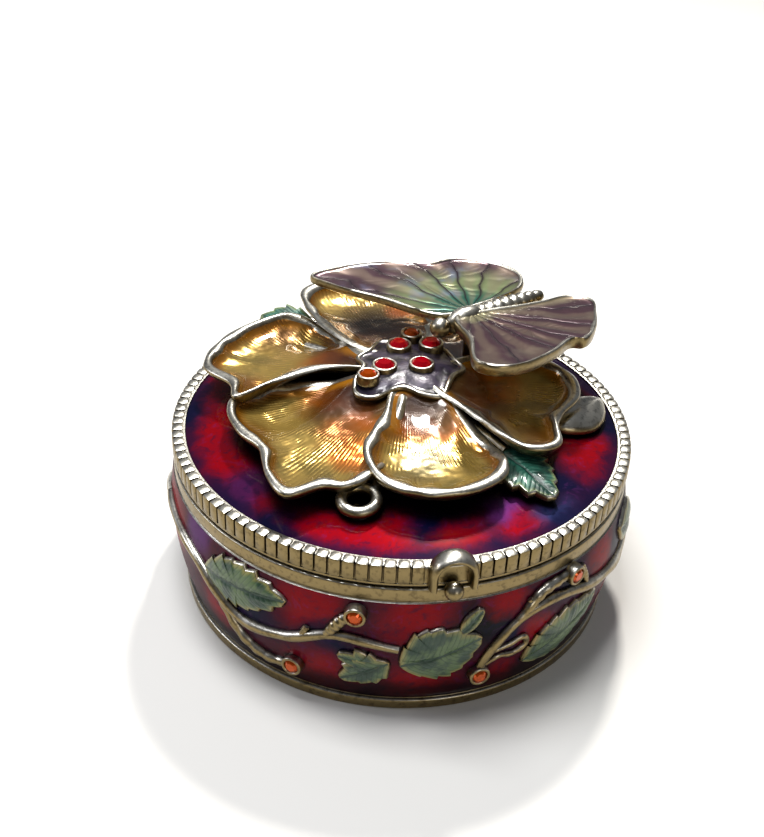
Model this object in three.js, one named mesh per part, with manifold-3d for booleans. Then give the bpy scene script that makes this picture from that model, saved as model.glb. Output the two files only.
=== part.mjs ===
// A small round trinket box of cast metal with a hinged lid, enamelled and set with stones.
// Millimetres, +Z up. The origin is the centre of the underside. The catch is at -Y and the hinge at +Y.

import * as THREE from 'three';
import { ParametricGeometry } from 'three/addons/geometries/ParametricGeometry.js';
import { mergeVertices } from 'three/addons/utils/BufferGeometryUtils.js';
import Module from 'manifold-3d';

const wasm = await Module();
wasm.setup();

// Driving dimensions of the bowl
const BASE_RADIUS = 29.2;
const BASE_HEIGHT = 1.5;
const FOOT_RADIUS = 28.9;
const BULGE_RADIUS = 30.6;
const BULGE_HEIGHT = 13;
const SIDE_BOTTOM = 1.9;
const SIDE_TOP = 18.2;
const SIDE_WALL = 2.1;
const FLOOR = 1.8;
const LIP_RADIUS = 30.0;
const LIP_BOTTOM = 18.6;
const SEAT = 20.3;
const NECK_OUTER = 27.6;
const NECK_INNER = 26.4;
const NECK_TOP = 21.3;
const INSIDE_HEIGHTS = [15, 8];
const FLOOR_ROUNDING = 1.0;
const ROUND_STEPS = 32;

// Driving dimensions of the lid
const LID_BOTTOM = 20.6;
const LID_INNER = 28.0;
const LID_CROWN = 25.5;
const LID_DROP = 2.3;
const LID_WALL = 1.3;
const RIM_INNER = 28.3;
const RIM_OUTER = 29.4;
const RIM_TOP = 23.6;
const MILL_OUTER = 30.05;
const MILL_INNER = 29.5;
const MILL_ROOT = 28.9;
const MILL_BOTTOM = 20.75;
const MILL_TOP = 23.4;
const MILL_TEETH = 118;

// Driving dimensions of the catch and of the hinge
const ARCH_CENTRE = 22.6;
const ARCH_OUTER = 2.9;
const ARCH_INNER = 1.8;
const ARCH_FRONT = 31.3;
const ARCH_BACK = 28.7;
const ARCH_FOOT = 20.7;
const RECESS_BACK = 29.3;
const BALL_RADIUS = 1.15;
const BALL_REACH = 30.85;
const BALL_HEIGHT = 20.6;
const HINGE_Y = 31.9;
const HINGE_Z = 20.45;
const KNUCKLE_RADIUS = 1.45;
const KNUCKLE_BORE = 0.9;
const KNUCKLE_HALF = 1.9;
const KNUCKLE_START = 2.3;
const KNUCKLE_END = 5.9;
const BODY_WEB = [19.1, 20.2];
const LID_WEB = [20.75, 21.7];
const PIN_RADIUS = 0.55;
const PIN_HALF = 6.3;

// Driving dimensions of the flower and the butterfly
const FLOWER_X = 1.2;
const FLOWER_Y = 3.4;
const PETAL_CREST = 28.7;
const PETAL_REACH = 26;
const PETAL_STEPS = 18;
const TUCK = 0.5;
const TUCK_MOST = 1.7;
const COLLAR_TOP = 29.4;
const COLLAR_BACK = 1;
const COLLAR_BOTTOM = 27;
const STALK_RADIUS = 7.5;
const STALK_FLARE = 1.4;
const STALK_NECK = 5;
const STALK_TOP = 28;
const STALK_SIDES = 10;
const CLEARANCE = 0.3;
const SPRIG_RADIUS = 0.7;
const SPRIG_HEIGHT = 1.1;
const WING_CENTRE = new THREE.Vector3(10.2, 7.4, 33.5);
const HEADING = THREE.MathUtils.degToRad(202);
const WING_ROOT = 1.2;
const POST_FOOT = 27.65;
const POST_RADIUS = 1.3;
const ABDOMEN_RINGS = 5;
const ABDOMEN_LENGTH = 11.2;
const THORAX = [1.9, 1.7, 3.2];
const HEAD_RADIUS = 1.35;
const BODY_PITCH = THREE.MathUtils.degToRad(-2);

// Driving dimensions of the stones
const STONE_RADIUS = 1.3;
const SIDE_STONE_RADIUS = 0.95;
const BEZEL_WALL = 0.4;
const STONE_GAP = 0.08;
const CUP_HEIGHT = 1.4;
const CUP_FLOOR = 0.7;
const CUP_SUNK = 0.3;
const CUP_SIDES = 7;

const METAL = { color: 0xb9a57c, roughness: 0.38, metalness: 0.9 };
const ENAMEL_RED = { color: 0x7a0d22, roughness: 0.15, metalness: 0.1 };
const PETAL_GOLD = { color: 0xb98a2c, roughness: 0.2, metalness: 0.5 };
const WING_PLUM = { color: 0x5b3a4a, roughness: 0.25, metalness: 0.3 };
const RED_STONE = { color: 0xc01522, roughness: 0.05, metalness: 0 };
const AMBER_STONE = { color: 0xd06a12, roughness: 0.05, metalness: 0 };

const WELD = 1e-4;
const TURN = 2 * Math.PI;

// Turns a closed three.js geometry into a solid: corners merged, empty faces dropped, faces pointing out.
function toSolid(geometry) {
  const bare = geometry.clone();
  bare.deleteAttribute('normal');
  bare.deleteAttribute('uv');
  const merged = mergeVertices(bare, WELD);
  const points = merged.getAttribute('position');
  const corner = (i) => new THREE.Vector3().fromBufferAttribute(points, i);
  const faces = [];
  let volume = 0;
  for (let i = 0; i < merged.index.count; i += 3) {
    const face = [merged.index.getX(i), merged.index.getX(i + 1), merged.index.getX(i + 2)];
    if (new Set(face).size === 3) {
      faces.push(face);
      volume += corner(face[0]).dot(corner(face[1]).cross(corner(face[2])));
    }
  }
  const outward = volume > 0 ? faces : faces.map((face) => face.reverse());
  const triVerts = new Uint32Array(outward.flat());
  const vertProperties = new Float32Array(points.array);
  return new wasm.Manifold(new wasm.Mesh({ numProp: 3, vertProperties, triVerts }));
}

function joined(solids) {
  return solids.reduce((whole, solid) => whole.add(solid));
}

function toMesh(name, solid, look) {
  const { vertProperties, triVerts } = solid.getMesh();
  const geometry = new THREE.BufferGeometry();
  geometry.setAttribute('position', new THREE.BufferAttribute(vertProperties, 3));
  geometry.setIndex(new THREE.BufferAttribute(triVerts, 1));
  geometry.computeVertexNormals();
  const mesh = new THREE.Mesh(geometry, new THREE.MeshStandardMaterial(look));
  mesh.name = name;
  return mesh;
}

// A turned solid standing on +Z, from [radius, height] pairs that start and end on the axis.
function turned(profile, steps) {
  const points = profile.map(([radius, height]) => new THREE.Vector2(radius, height));
  return new THREE.LatheGeometry(points, steps).rotateX(Math.PI / 2);
}

function cylinder(radius, length, steps) {
  return new THREE.CylinderGeometry(radius, radius, length, steps);
}

// A bar of a four-sided section along a smooth curve.
function tube(points, radius, steps) {
  const sides = 4;
  const section = new THREE.Shape();
  for (let i = 0; i < sides; i++) {
    const angle = (TURN * i) / sides;
    const corner = [radius * Math.cos(angle), radius * Math.sin(angle)];
    if (i === 0) section.moveTo(...corner);
    else section.lineTo(...corner);
  }
  const path = new THREE.CatmullRomCurve3(points);
  return new THREE.ExtrudeGeometry(section, { steps, bevelEnabled: false, extrudePath: path });
}

// A closed outline through a few [x, y] points, as evenly spaced points.
function outline(points, count) {
  const curve = new THREE.CatmullRomCurve3(points.map(([x, y]) => new THREE.Vector3(x, y, 0)), true);
  return curve.getSpacedPoints(count).slice(0, count);
}

// A flat leaf-like solid with a raised rim round a hollow face.
// edge is its outline, and profile gives pairs of [inset from the edge, height], from underside to face.
// place(x, y, height) puts a point of it in space.
function dish(edge, profile, place) {
  const centre = edge.reduce((sum, point) => sum.add(point), new THREE.Vector3()).divideScalar(edge.length);
  const last = profile.length + 1;
  const at = (u, v, target) => {
    const point = edge[Math.round(u * edge.length) % edge.length];
    const ring = Math.round(v * last);
    const end = ring === 0 || ring === last;
    const [inset, height] = profile[Math.min(Math.max(ring - 1, 0), profile.length - 1)];
    const keep = end ? 0 : Math.max(0.05, 1 - inset / point.distanceTo(centre));
    const flat = new THREE.Vector3().lerpVectors(centre, point, keep);
    target.copy(place(flat.x, flat.y, height));
  };
  return new ParametricGeometry(at, edge.length, last);
}

// The height of the lid's enamelled top at a distance from the middle.
function lidTop(radius) {
  return LID_CROWN - LID_DROP * (radius / RIM_INNER) ** 2;
}

// The radius of the bowl's side at a height.
function sideRadius(height) {
  if (height > BULGE_HEIGHT) {
    return BULGE_RADIUS - 0.5 * ((height - BULGE_HEIGHT) / (SIDE_TOP - BULGE_HEIGHT)) ** 2;
  }
  const share = Math.max(0, height - SIDE_BOTTOM) / (BULGE_HEIGHT - SIDE_BOTTOM);
  return FOOT_RADIUS + (BULGE_RADIUS - FOOT_RADIUS) * Math.sin((share * Math.PI) / 2);
}

// A point on the bowl's side. azimuth is in degrees from the catch, positive to the right
// seen from the front.
function onSide(azimuth, height, proud) {
  const angle = THREE.MathUtils.degToRad(azimuth - 90);
  const radius = sideRadius(height) + proud;
  return new THREE.Vector3(radius * Math.cos(angle), radius * Math.sin(angle), height);
}

// One side knuckle of the hinge: a barrel along X with a web towards the box.
function knuckle(from, to, [webBottom, webTop]) {
  const length = to - from;
  const middle = (from + to) / 2;
  const barrel = cylinder(KNUCKLE_RADIUS, length, 8).rotateZ(Math.PI / 2);
  barrel.translate(middle, HINGE_Y, HINGE_Z);
  const bore = cylinder(KNUCKLE_BORE, length + 2, 8).rotateZ(Math.PI / 2).translate(middle, HINGE_Y, HINGE_Z);
  const reach = HINGE_Y - MILL_ROOT;
  const web = new THREE.BoxGeometry(length, reach, webTop - webBottom);
  web.translate(middle, MILL_ROOT + reach / 2, (webBottom + webTop) / 2);
  return toSolid(barrel).add(toSolid(web)).subtract(toSolid(bore));
}

// The cup that holds a stone, before it is hollowed, standing on +Z with its foot at the origin.
function bezel(radius) {
  const peg = cylinder(radius + BEZEL_WALL, CUP_HEIGHT, CUP_SIDES).rotateX(Math.PI / 2);
  return peg.translate(0, 0, CUP_HEIGHT / 2);
}

// The hollow of that cup, open upwards.
function bezelHollow(radius) {
  return cylinder(radius + STONE_GAP, 2, CUP_SIDES).rotateX(Math.PI / 2).translate(0, 0, CUP_FLOOR + 1);
}

// A cut stone standing on +Z: its point below, a girdle and a flat table.
function stone(radius) {
  const height = 0.75 * radius;
  return turned([[0, 0], [radius, 0.35 * radius], [0.6 * radius, height], [0, height]], CUP_SIDES);
}

// Turns +Z towards a direction and moves the foot to a point.
function stand(geometry, point, direction) {
  const upright = new THREE.Vector3(0, 0, 1);
  const turn = new THREE.Quaternion().setFromUnitVectors(upright, direction.clone().normalize());
  return geometry.applyQuaternion(turn).translate(point.x, point.y, point.z);
}

// The vine round the side, in [azimuth, height] pairs for half the way round; the other half repeats it.
const VINE_RADIUS = 0.75;
const HALF_TURNS = [0, 180];
const STEMS = [
  { steps: 8, route: [[-88, 15.2], [-65, 13.4], [-50, 9.4], [-37, 10.2], [-25, 12.8], [-11, 11.6]] },
  { steps: 3, route: [[-56, 10.3], [-50.5, 6.2], [-43.5, 4.4], [-35.5, 4.8]] },
  { steps: 1, route: [[-27, 12.6], [-24, 15], [-20.6, 16.6]] },
  {
    steps: 9,
    route: [[8.1, 6.0], [9.4, 9], [15, 13.2], [24, 15], [45, 12.4], [64, 10.4], [80, 13], [92, 15.2]],
  },
  { steps: 3, route: [[16, 13.6], [22, 16.6], [31, 17.4]] },
];
const SIDE_LEAVES = [
  { azimuth: -49, height: 14.8, length: 13.5, width: 6.5, turn: 8 },
  { azimuth: -18.5, height: 7.2, length: 7.5, width: 4.8, turn: 215 },
  { azimuth: -1.5, height: 10.8, length: 10.5, width: 8.6, turn: 22 },
  { azimuth: 31, height: 8.4, length: 13.5, width: 7.2, turn: 25 },
  { azimuth: 64, height: 14.6, length: 10, width: 5.2, turn: -15 },
];
const SIDE_STONES = [[-20.6, 16.5], [-35.5, 5.4], [8.1, 6.0], [31.8, 17.1]];

// A pointed leaf lying along +X, its middle at the origin, as outline points.
function leafEdge(length, width, count) {
  const half = length / 2;
  return outline([
    [-half, 0], [-0.55 * half, -0.36 * width], [0.1 * half, -0.5 * width], [0.7 * half, -0.26 * width],
    [half, 0], [0.7 * half, 0.26 * width], [0.1 * half, 0.5 * width], [-0.55 * half, 0.36 * width],
  ], count);
}

function sideLeaf({ azimuth, height, length, width, turn }, halfTurn) {
  const angle = THREE.MathUtils.degToRad(turn);
  const place = (x, y, proud) => {
    const along = x * Math.cos(angle) - y * Math.sin(angle);
    const up = height + x * Math.sin(angle) + y * Math.cos(angle);
    const spin = THREE.MathUtils.radToDeg(along / BULGE_RADIUS);
    return onSide(azimuth + halfTurn + spin, up, proud);
  };
  return toSolid(dish(leafEdge(length, width, 10), [[0, -0.8], [0.2, 0.65]], place));
}

function bodySolid() {
  const heights = [SIDE_BOTTOM, 6.5, BULGE_HEIGHT, SIDE_TOP];
  const bowl = toSolid(turned([
    [0, 0],
    [BASE_RADIUS, 0],
    [BASE_RADIUS, BASE_HEIGHT],
    ...heights.map((height) => [sideRadius(height), height]),
    [LIP_RADIUS, LIP_BOTTOM],
    [LIP_RADIUS, SEAT],
    [NECK_OUTER, SEAT],
    [NECK_OUTER, NECK_TOP],
    [NECK_INNER, NECK_TOP],
    [NECK_INNER, SEAT - 1],
    ...INSIDE_HEIGHTS.map((height) => [sideRadius(height) - SIDE_WALL, height]),
    [sideRadius(FLOOR) - SIDE_WALL - FLOOR_ROUNDING, FLOOR],
    [0, FLOOR],
  ], ROUND_STEPS));
  const ball = toSolid(new THREE.SphereGeometry(BALL_RADIUS, 8, 6).translate(0, -BALL_REACH, BALL_HEIGHT));
  const hollows = [];
  const pieces = [
    bowl,
    ball,
    knuckle(KNUCKLE_START, KNUCKLE_END, BODY_WEB),
    knuckle(-KNUCKLE_END, -KNUCKLE_START, BODY_WEB),
  ];
  for (const halfTurn of HALF_TURNS) {
    for (const { route, steps } of STEMS) {
      const points = route.map(([azimuth, height]) => onSide(azimuth + halfTurn, height, 0.15));
      pieces.push(toSolid(tube(points, VINE_RADIUS, steps)));
    }
    for (const leaf of SIDE_LEAVES) pieces.push(sideLeaf(leaf, halfTurn));
    for (const [azimuth, height] of SIDE_STONES) {
      const foot = onSide(azimuth + halfTurn, height, -CUP_SUNK);
      pieces.push(toSolid(stand(bezel(SIDE_STONE_RADIUS), foot, outward(azimuth + halfTurn))));
      hollows.push(toSolid(stand(bezelHollow(SIDE_STONE_RADIUS), foot, outward(azimuth + halfTurn))));
    }
  }
  return joined(pieces).subtract(joined(hollows));
}

// The level direction away from the axis at an azimuth.
function outward(azimuth) {
  const angle = THREE.MathUtils.degToRad(azimuth - 90);
  return new THREE.Vector3(Math.cos(angle), Math.sin(angle), 0);
}

function lidSolid() {
  const domeRadii = [24, 18, 10];
  const underRadii = [20, 27];
  const shell = toSolid(turned([
    [0, LID_CROWN - LID_WALL],
    ...underRadii.map((radius) => [radius, lidTop(radius) - LID_WALL]),
    [LID_INNER, 21.7],
    [LID_INNER, LID_BOTTOM],
    [RIM_OUTER, LID_BOTTOM],
    [RIM_OUTER, RIM_TOP],
    [RIM_INNER, RIM_TOP],
    [RIM_INNER, lidTop(RIM_INNER)],
    ...domeRadii.map((radius) => [radius, lidTop(radius)]),
    [0, LID_CROWN],
  ], ROUND_STEPS));
  return joined([shell, milledRing(), knuckle(-KNUCKLE_HALF, KNUCKLE_HALF, LID_WEB)])
    .subtract(archRecess())
    .add(arch());
}

// The ring of close teeth round the lid's edge.
function milledRing() {
  const shape = new THREE.Shape();
  for (let i = 0; i < 2 * MILL_TEETH; i++) {
    const angle = (TURN * i) / (2 * MILL_TEETH);
    const radius = i % 2 === 0 ? MILL_OUTER : MILL_INNER;
    const corner = [radius * Math.cos(angle), radius * Math.sin(angle)];
    if (i === 0) shape.moveTo(...corner);
    else shape.lineTo(...corner);
  }
  const hole = new THREE.Path();
  hole.absarc(0, 0, MILL_ROOT, 0, TURN, true);
  shape.holes.push(hole);
  const settings = { depth: MILL_TOP - MILL_BOTTOM, bevelEnabled: false, curveSegments: ROUND_STEPS / 2 };
  const ring = new THREE.ExtrudeGeometry(shape, settings);
  return toSolid(ring.translate(0, 0, MILL_BOTTOM));
}

// The arch of the catch: an upturned U standing on the lid's front edge, open below.
function arch() {
  const shape = new THREE.Shape();
  shape.moveTo(ARCH_OUTER, ARCH_FOOT);
  shape.lineTo(ARCH_OUTER, ARCH_CENTRE);
  shape.absarc(0, ARCH_CENTRE, ARCH_OUTER, 0, Math.PI, false);
  shape.lineTo(-ARCH_OUTER, ARCH_FOOT);
  shape.lineTo(-ARCH_INNER, ARCH_FOOT);
  shape.lineTo(-ARCH_INNER, ARCH_CENTRE);
  shape.absarc(0, ARCH_CENTRE, ARCH_INNER, Math.PI, 0, true);
  shape.lineTo(ARCH_INNER, ARCH_FOOT);
  const depth = ARCH_FRONT - ARCH_BACK;
  const band = new THREE.ExtrudeGeometry(shape, { depth, bevelEnabled: false, curveSegments: 6 });
  return toSolid(band.rotateX(Math.PI / 2).translate(0, -ARCH_BACK, 0));
}

// The space under the arch, where the ball of the catch snaps in.
function archRecess() {
  const height = ARCH_CENTRE - LID_BOTTOM + 1.2;
  const depth = ARCH_FRONT - RECESS_BACK;
  const front = new THREE.BoxGeometry(2 * ARCH_INNER, depth, height);
  return toSolid(front.translate(0, -RECESS_BACK - depth / 2, (ARCH_CENTRE + LID_BOTTOM) / 2 - 0.1));
}

// Petals: the direction each points in, in degrees, how far its rim falls from root to tip, its lift over
// its neighbours, the sides whose root is tucked under a neighbour, and the points of its edge as
// [along, across] from the flower's middle.
const PETALS = [
  {
    direction: 158, fall: 1.2, lift: 0.6, tucked: ['right'],
    edge: [
      [4, 0.6], [11, 2.2], [16.2, 6.7], [20.2, 11.2], [21.6, 8], [26.3, 4.6], [26.4, -1.5], [23.6, -7.5],
      [18, -12.2], [13.4, -10.5], [8, -4],
    ],
  },
  {
    direction: 221, fall: 1.2, lift: 0, tucked: ['left', 'right'],
    edge: [
      [4, 2], [12, 7], [19.5, 9.8], [23.4, 9], [24.8, 6.8], [28.8, 4.6], [27.6, 0.5], [24.4, -3.4],
      [23.4, -8], [21.2, -12], [17.5, -14], [12, -12.8], [4, -4],
    ],
  },
  {
    direction: 267, fall: 1.2, lift: 0.35, tucked: ['left'],
    edge: [
      [4, 3], [9.7, 6], [16.9, 8.7], [22, 8.4], [25, 4], [25.3, -1.5], [22.6, -6.2], [17, -7.6], [9.9, -4.3],
      [4, -2],
    ],
  },
  {
    direction: 325, fall: 1.2, lift: 0.6, tucked: [],
    edge: [
      [4, 3], [8.5, 9], [14, 11.4], [19.5, 9.6], [21.6, 5.6], [21, -1], [22.8, -6], [20, -8.8], [11.1, -5.5],
      [4, -2],
    ],
  },
  {
    direction: 30, fall: 1.2, lift: 0, tucked: ['left', 'right'],
    edge: [[4, 2], [11, 8], [18, 8], [21, 4], [20, 0.3], [21, -3], [18, -8], [11, -8], [4, -2]],
  },
  {
    direction: 95, fall: -1.0, lift: 0.3, tucked: ['right'],
    edge: [
      [4, 2.4], [8.9, 6.6], [16.8, 9.2], [22.5, 9], [24.6, 5], [23.4, 0.6], [24, -4], [19, -8.5], [11, -7],
      [4, -2.4],
    ],
  },
];
const FLOWER_STONES = [
  { x: -2.1, y: 2.6, radius: STONE_RADIUS, look: RED_STONE },
  { x: 0.8, y: 7.6, radius: STONE_RADIUS, look: RED_STONE },
  { x: 2.8, y: 2.4, radius: STONE_RADIUS, look: RED_STONE },
  { x: 5.2, y: 7.4, radius: STONE_RADIUS, look: RED_STONE },
  { x: 3.1, y: 10.4, radius: STONE_RADIUS * 0.85, look: AMBER_STONE },
  { x: -4.6, y: 0.6, radius: STONE_RADIUS * 0.85, look: AMBER_STONE },
];

// Its underside keeps clear of the lid's top.
function petal({ direction, fall, lift, tucked, edge }) {
  const angle = THREE.MathUtils.degToRad(direction);
  const place = (along, across, height) => {
    const x = FLOWER_X + along * Math.cos(angle) - across * Math.sin(angle);
    const y = FLOWER_Y + along * Math.sin(angle) + across * Math.cos(angle);
    const nearRoot = THREE.MathUtils.clamp((20 - along) / 5, 0, 1);
    const outside = Math.max(0, Math.abs(across) - 4);
    const tuck = tucked.includes(across > 0 ? 'left' : 'right') ? Math.min(TUCK_MOST, TUCK * outside) : 0;
    const crest = PETAL_CREST + lift - (fall * along) / PETAL_REACH - nearRoot * tuck;
    return new THREE.Vector3(x, y, Math.max(crest + height, lidTop(Math.hypot(x, y)) + CLEARANCE));
  };
  const profile = [[0.3, -1.6], [0, -0.3], [0.6, 0], [1.5, -0.9]];
  return toSolid(dish(outline(edge, PETAL_STEPS), profile, place));
}

// The edge of the ruffled collar round the stones, as [degrees round its middle, distance from it].
const COLLAR_EDGE = [
  [-160, 8.2], [-145, 9.5], [-130, 9.0], [-106, 6.4], [-86, 7.6], [-68, 8.6], [-50, 7.4], [-32, 7.0],
  [-12, 8.0], [8, 6.8], [28, 6.9], [48, 5.8], [70, 6.7], [92, 5.8], [114, 6.8], [138, 6.0], [160, 6.9],
  [180, 6.1],
];

function collar() {
  const shape = new THREE.Shape();
  COLLAR_EDGE.forEach(([degrees, radius], i) => {
    const angle = THREE.MathUtils.degToRad(degrees);
    const corner = [radius * Math.cos(angle), radius * Math.sin(angle)];
    if (i === 0) shape.moveTo(...corner);
    else shape.lineTo(...corner);
  });
  const ruff = new THREE.ExtrudeGeometry(shape, { depth: COLLAR_TOP - COLLAR_BOTTOM, bevelEnabled: false });
  return toSolid(ruff.translate(FLOWER_X, FLOWER_Y + COLLAR_BACK, COLLAR_BOTTOM));
}

// A point a little above the lid's top.
function overLid(x, y, above) {
  return new THREE.Vector3(x, y, lidTop(Math.hypot(x, y)) + above);
}

// A leaf that lies over the lid, from its root to its tip. tilt lifts its right edge.
function lidLeaf({ root, tip, width, above, tilt }) {
  const along = new THREE.Vector2(tip[0] - root[0], tip[1] - root[1]);
  const length = along.length();
  along.normalize();
  const middle = [(root[0] + tip[0]) / 2, (root[1] + tip[1]) / 2];
  const place = (x, y, height) => {
    const worldX = middle[0] + x * along.x - y * along.y;
    const worldY = middle[1] + x * along.y + y * along.x;
    return overLid(worldX, worldY, above + height - tilt * y);
  };
  return toSolid(dish(leafEdge(length, width, 11), [[0, -0.4], [0, 0.3]], place));
}

// A stem over the lid from under the flower's middle out to a leaf or a curl.
function lidStem(points) {
  return toSolid(tube(points.map(([x, y]) => overLid(x, y, SPRIG_HEIGHT)), SPRIG_RADIUS, 3));
}

const LID_LEAVES = [
  { root: [9.3, -11.2], tip: [14.4, -21.4], width: 7.6, above: 1.1, tilt: 0 },
  { root: [18.6, -7.8], tip: [27.5, -0.6], width: 6.6, above: 1.0, tilt: 0 },
  { root: [-8, 18.5], tip: [-18.3, 20.6], width: 8.4, above: 2.7, tilt: 0.45 },
];
const CURL_X = -9;
const CURL_Y = -19;
const CURL_RADIUS = 2.1;

function flowerSolid() {
  const foot = LID_CROWN + CLEARANCE;
  const stalk = turned([
    [0, foot],
    [STALK_RADIUS - 1, foot],
    [STALK_RADIUS, foot + STALK_FLARE],
    [STALK_NECK, STALK_TOP],
    [0, STALK_TOP],
  ], STALK_SIDES);
  stalk.translate(FLOWER_X, FLOWER_Y, 0);
  const curl = new THREE.TorusGeometry(CURL_RADIUS, SPRIG_RADIUS, 4, 11);
  const curlAt = overLid(CURL_X, CURL_Y, SPRIG_HEIGHT);
  const pieces = [
    toSolid(stalk),
    collar(),
    toSolid(curl.translate(curlAt.x, curlAt.y, curlAt.z)),
    lidStem([[-1, -2], [-4, -9], [-6.9, -18]]),
    lidStem([[4, -1], [7, -6], [10.5, -12.5]]),
    lidStem([[7, 2], [12, -3], [18.5, -5.9]]),
    lidStem([[-3, 8], [-6, 12], [-10.5, 16.5]]),
    ...PETALS.map(petal),
    ...LID_LEAVES.map(lidLeaf),
  ];
  const hollows = [];
  for (const { x, y, radius } of FLOWER_STONES) {
    pieces.push(toSolid(bezel(radius).translate(x, y, COLLAR_TOP - CUP_SUNK)));
    hollows.push(toSolid(bezelHollow(radius).translate(x, y, COLLAR_TOP - CUP_SUNK)));
  }
  return joined(pieces).subtract(joined(hollows));
}

// A point of the butterfly: ahead along its heading, aside to its left, and above its middle.
function onButterfly(ahead, aside, above) {
  const x = WING_CENTRE.x + ahead * Math.cos(HEADING) - aside * Math.sin(HEADING);
  const y = WING_CENTRE.y + ahead * Math.sin(HEADING) + aside * Math.cos(HEADING);
  return new THREE.Vector3(x, y, WING_CENTRE.z + above);
}

// Each side's fore and hind wing, cast as one plate with a notch between them: the points of its edge as
// [ahead, aside] from the thorax.
const LEFT_WINGS = [
  [3, 0.6], [5.8, 7.5], [9.2, 13.6], [7.8, 16.2], [4, 17], [-1.9, 15.6], [-6.3, 13.8], [-7.6, 14.6],
  [-11.7, 12], [-15.1, 8.3], [-17.8, 4.4], [-16.6, 1.9], [-9.7, 1.6], [-1.5, 0.6],
];
const RIGHT_WINGS = [
  [4, 0.6], [8.7, 8.6], [12.3, 14.5], [13.7, 19], [9, 19.6], [3.8, 18.6], [-0.5, 16.4], [-3.8, 14.5],
  [-7.9, 13.6], [-11.2, 10.5], [-12.9, 6.5], [-11.5, 3], [-9, 1.6], [-1.5, 0.6],
];

// side is 1 for the left wings and -1 for the right. thick is how far the plate reaches below its rim, slope
// lifts its tip, and pitch, in degrees, its front edge.
function wings({ side, edge, thick, slope, pitch }) {
  const climb = Math.tan(THREE.MathUtils.degToRad(pitch));
  const place = (ahead, aside, above) =>
    onButterfly(ahead, side * aside, WING_ROOT + above + ahead * climb + aside * slope);
  return toSolid(dish(outline(edge, 21), [[0, -thick], [0, 0.4], [0.9, 0.1]], place));
}

function butterflySolid() {
  const lengthwise = new THREE.Vector3(Math.cos(HEADING), Math.sin(HEADING), Math.tan(BODY_PITCH));
  const onBody = (ahead) => onButterfly(ahead, 0, 0.3 + ahead * Math.tan(BODY_PITCH));
  const rings = [[0, 0], [0.7, 0.3]];
  for (let i = 0; i < ABDOMEN_RINGS; i++) {
    const radius = 0.9 + 0.55 * Math.sin((Math.PI * (i + 1)) / (ABDOMEN_RINGS + 1));
    rings.push([radius, 0.9 + 2 * i], [radius * 0.75, 2.3 + 2 * i]);
  }
  rings.push([0, ABDOMEN_LENGTH]);
  const abdomen = stand(turned(rings, 6), onBody(-12.4), lengthwise);
  const egg = new THREE.SphereGeometry(1, 8, 6).scale(...THORAX);
  const thorax = stand(egg, onBody(0.8), lengthwise);
  const headAt = onBody(4.8);
  const head = new THREE.SphereGeometry(HEAD_RADIUS, 6, 5).translate(headAt.x, headAt.y, headAt.z);
  const post = cylinder(POST_RADIUS, WING_CENTRE.z - POST_FOOT, 8).rotateX(Math.PI / 2);
  const postAt = onButterfly(-1, 0, (POST_FOOT - WING_CENTRE.z) / 2);
  return joined([
    toSolid(abdomen),
    toSolid(thorax),
    toSolid(head),
    toSolid(post.translate(postAt.x, postAt.y, postAt.z)),
    wings({ side: 1, edge: LEFT_WINGS, thick: 0.9, slope: 0.1, pitch: 4 }),
    wings({ side: -1, edge: RIGHT_WINGS, thick: 0.5, slope: 0, pitch: 0 }),
  ]);
}

const box = new THREE.Group();
box.add(toMesh('body', bodySolid(), ENAMEL_RED));
const lid = new THREE.Group();
lid.add(toMesh('lid', lidSolid(), ENAMEL_RED));
lid.add(toMesh('flower', flowerSolid(), PETAL_GOLD));
lid.add(toMesh('butterfly', butterflySolid(), WING_PLUM));
FLOWER_STONES.forEach(({ x, y, radius, look }, i) => {
  const gem = stone(radius).translate(x, y, COLLAR_TOP - CUP_SUNK + CUP_FLOOR + STONE_GAP);
  lid.add(toMesh(`flower_stone_${i + 1}`, toSolid(gem), look));
});
box.add(lid);
const pin = cylinder(PIN_RADIUS, 2 * PIN_HALF, 8).rotateZ(Math.PI / 2).translate(0, HINGE_Y, HINGE_Z);
box.add(toMesh('hinge_pin', toSolid(pin), METAL));
let sideStones = 0;
for (const halfTurn of HALF_TURNS) {
  for (const [azimuth, height] of SIDE_STONES) {
    const foot = onSide(azimuth + halfTurn, height, CUP_FLOOR - CUP_SUNK + STONE_GAP);
    const gem = stand(stone(SIDE_STONE_RADIUS), foot, outward(azimuth + halfTurn));
    sideStones += 1;
    box.add(toMesh(`side_stone_${sideStones}`, toSolid(gem), AMBER_STONE));
  }
}

export default box;
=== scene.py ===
# %% [markdown]
# # A round enamelled trinket box
# This lesson dresses a small hinged box of cast metal. Its solids come ready made as a fixed frame, and
# every piece built here lies over one of them: the bowl, the lid, the flower with its leaves, and the
# butterfly. The frame is loaded first, because its bodies carry all that follows.

# %% Load the frame
import math

import bmesh
import bpy
import numpy as np
from mathutils import Matrix, Vector


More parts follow.
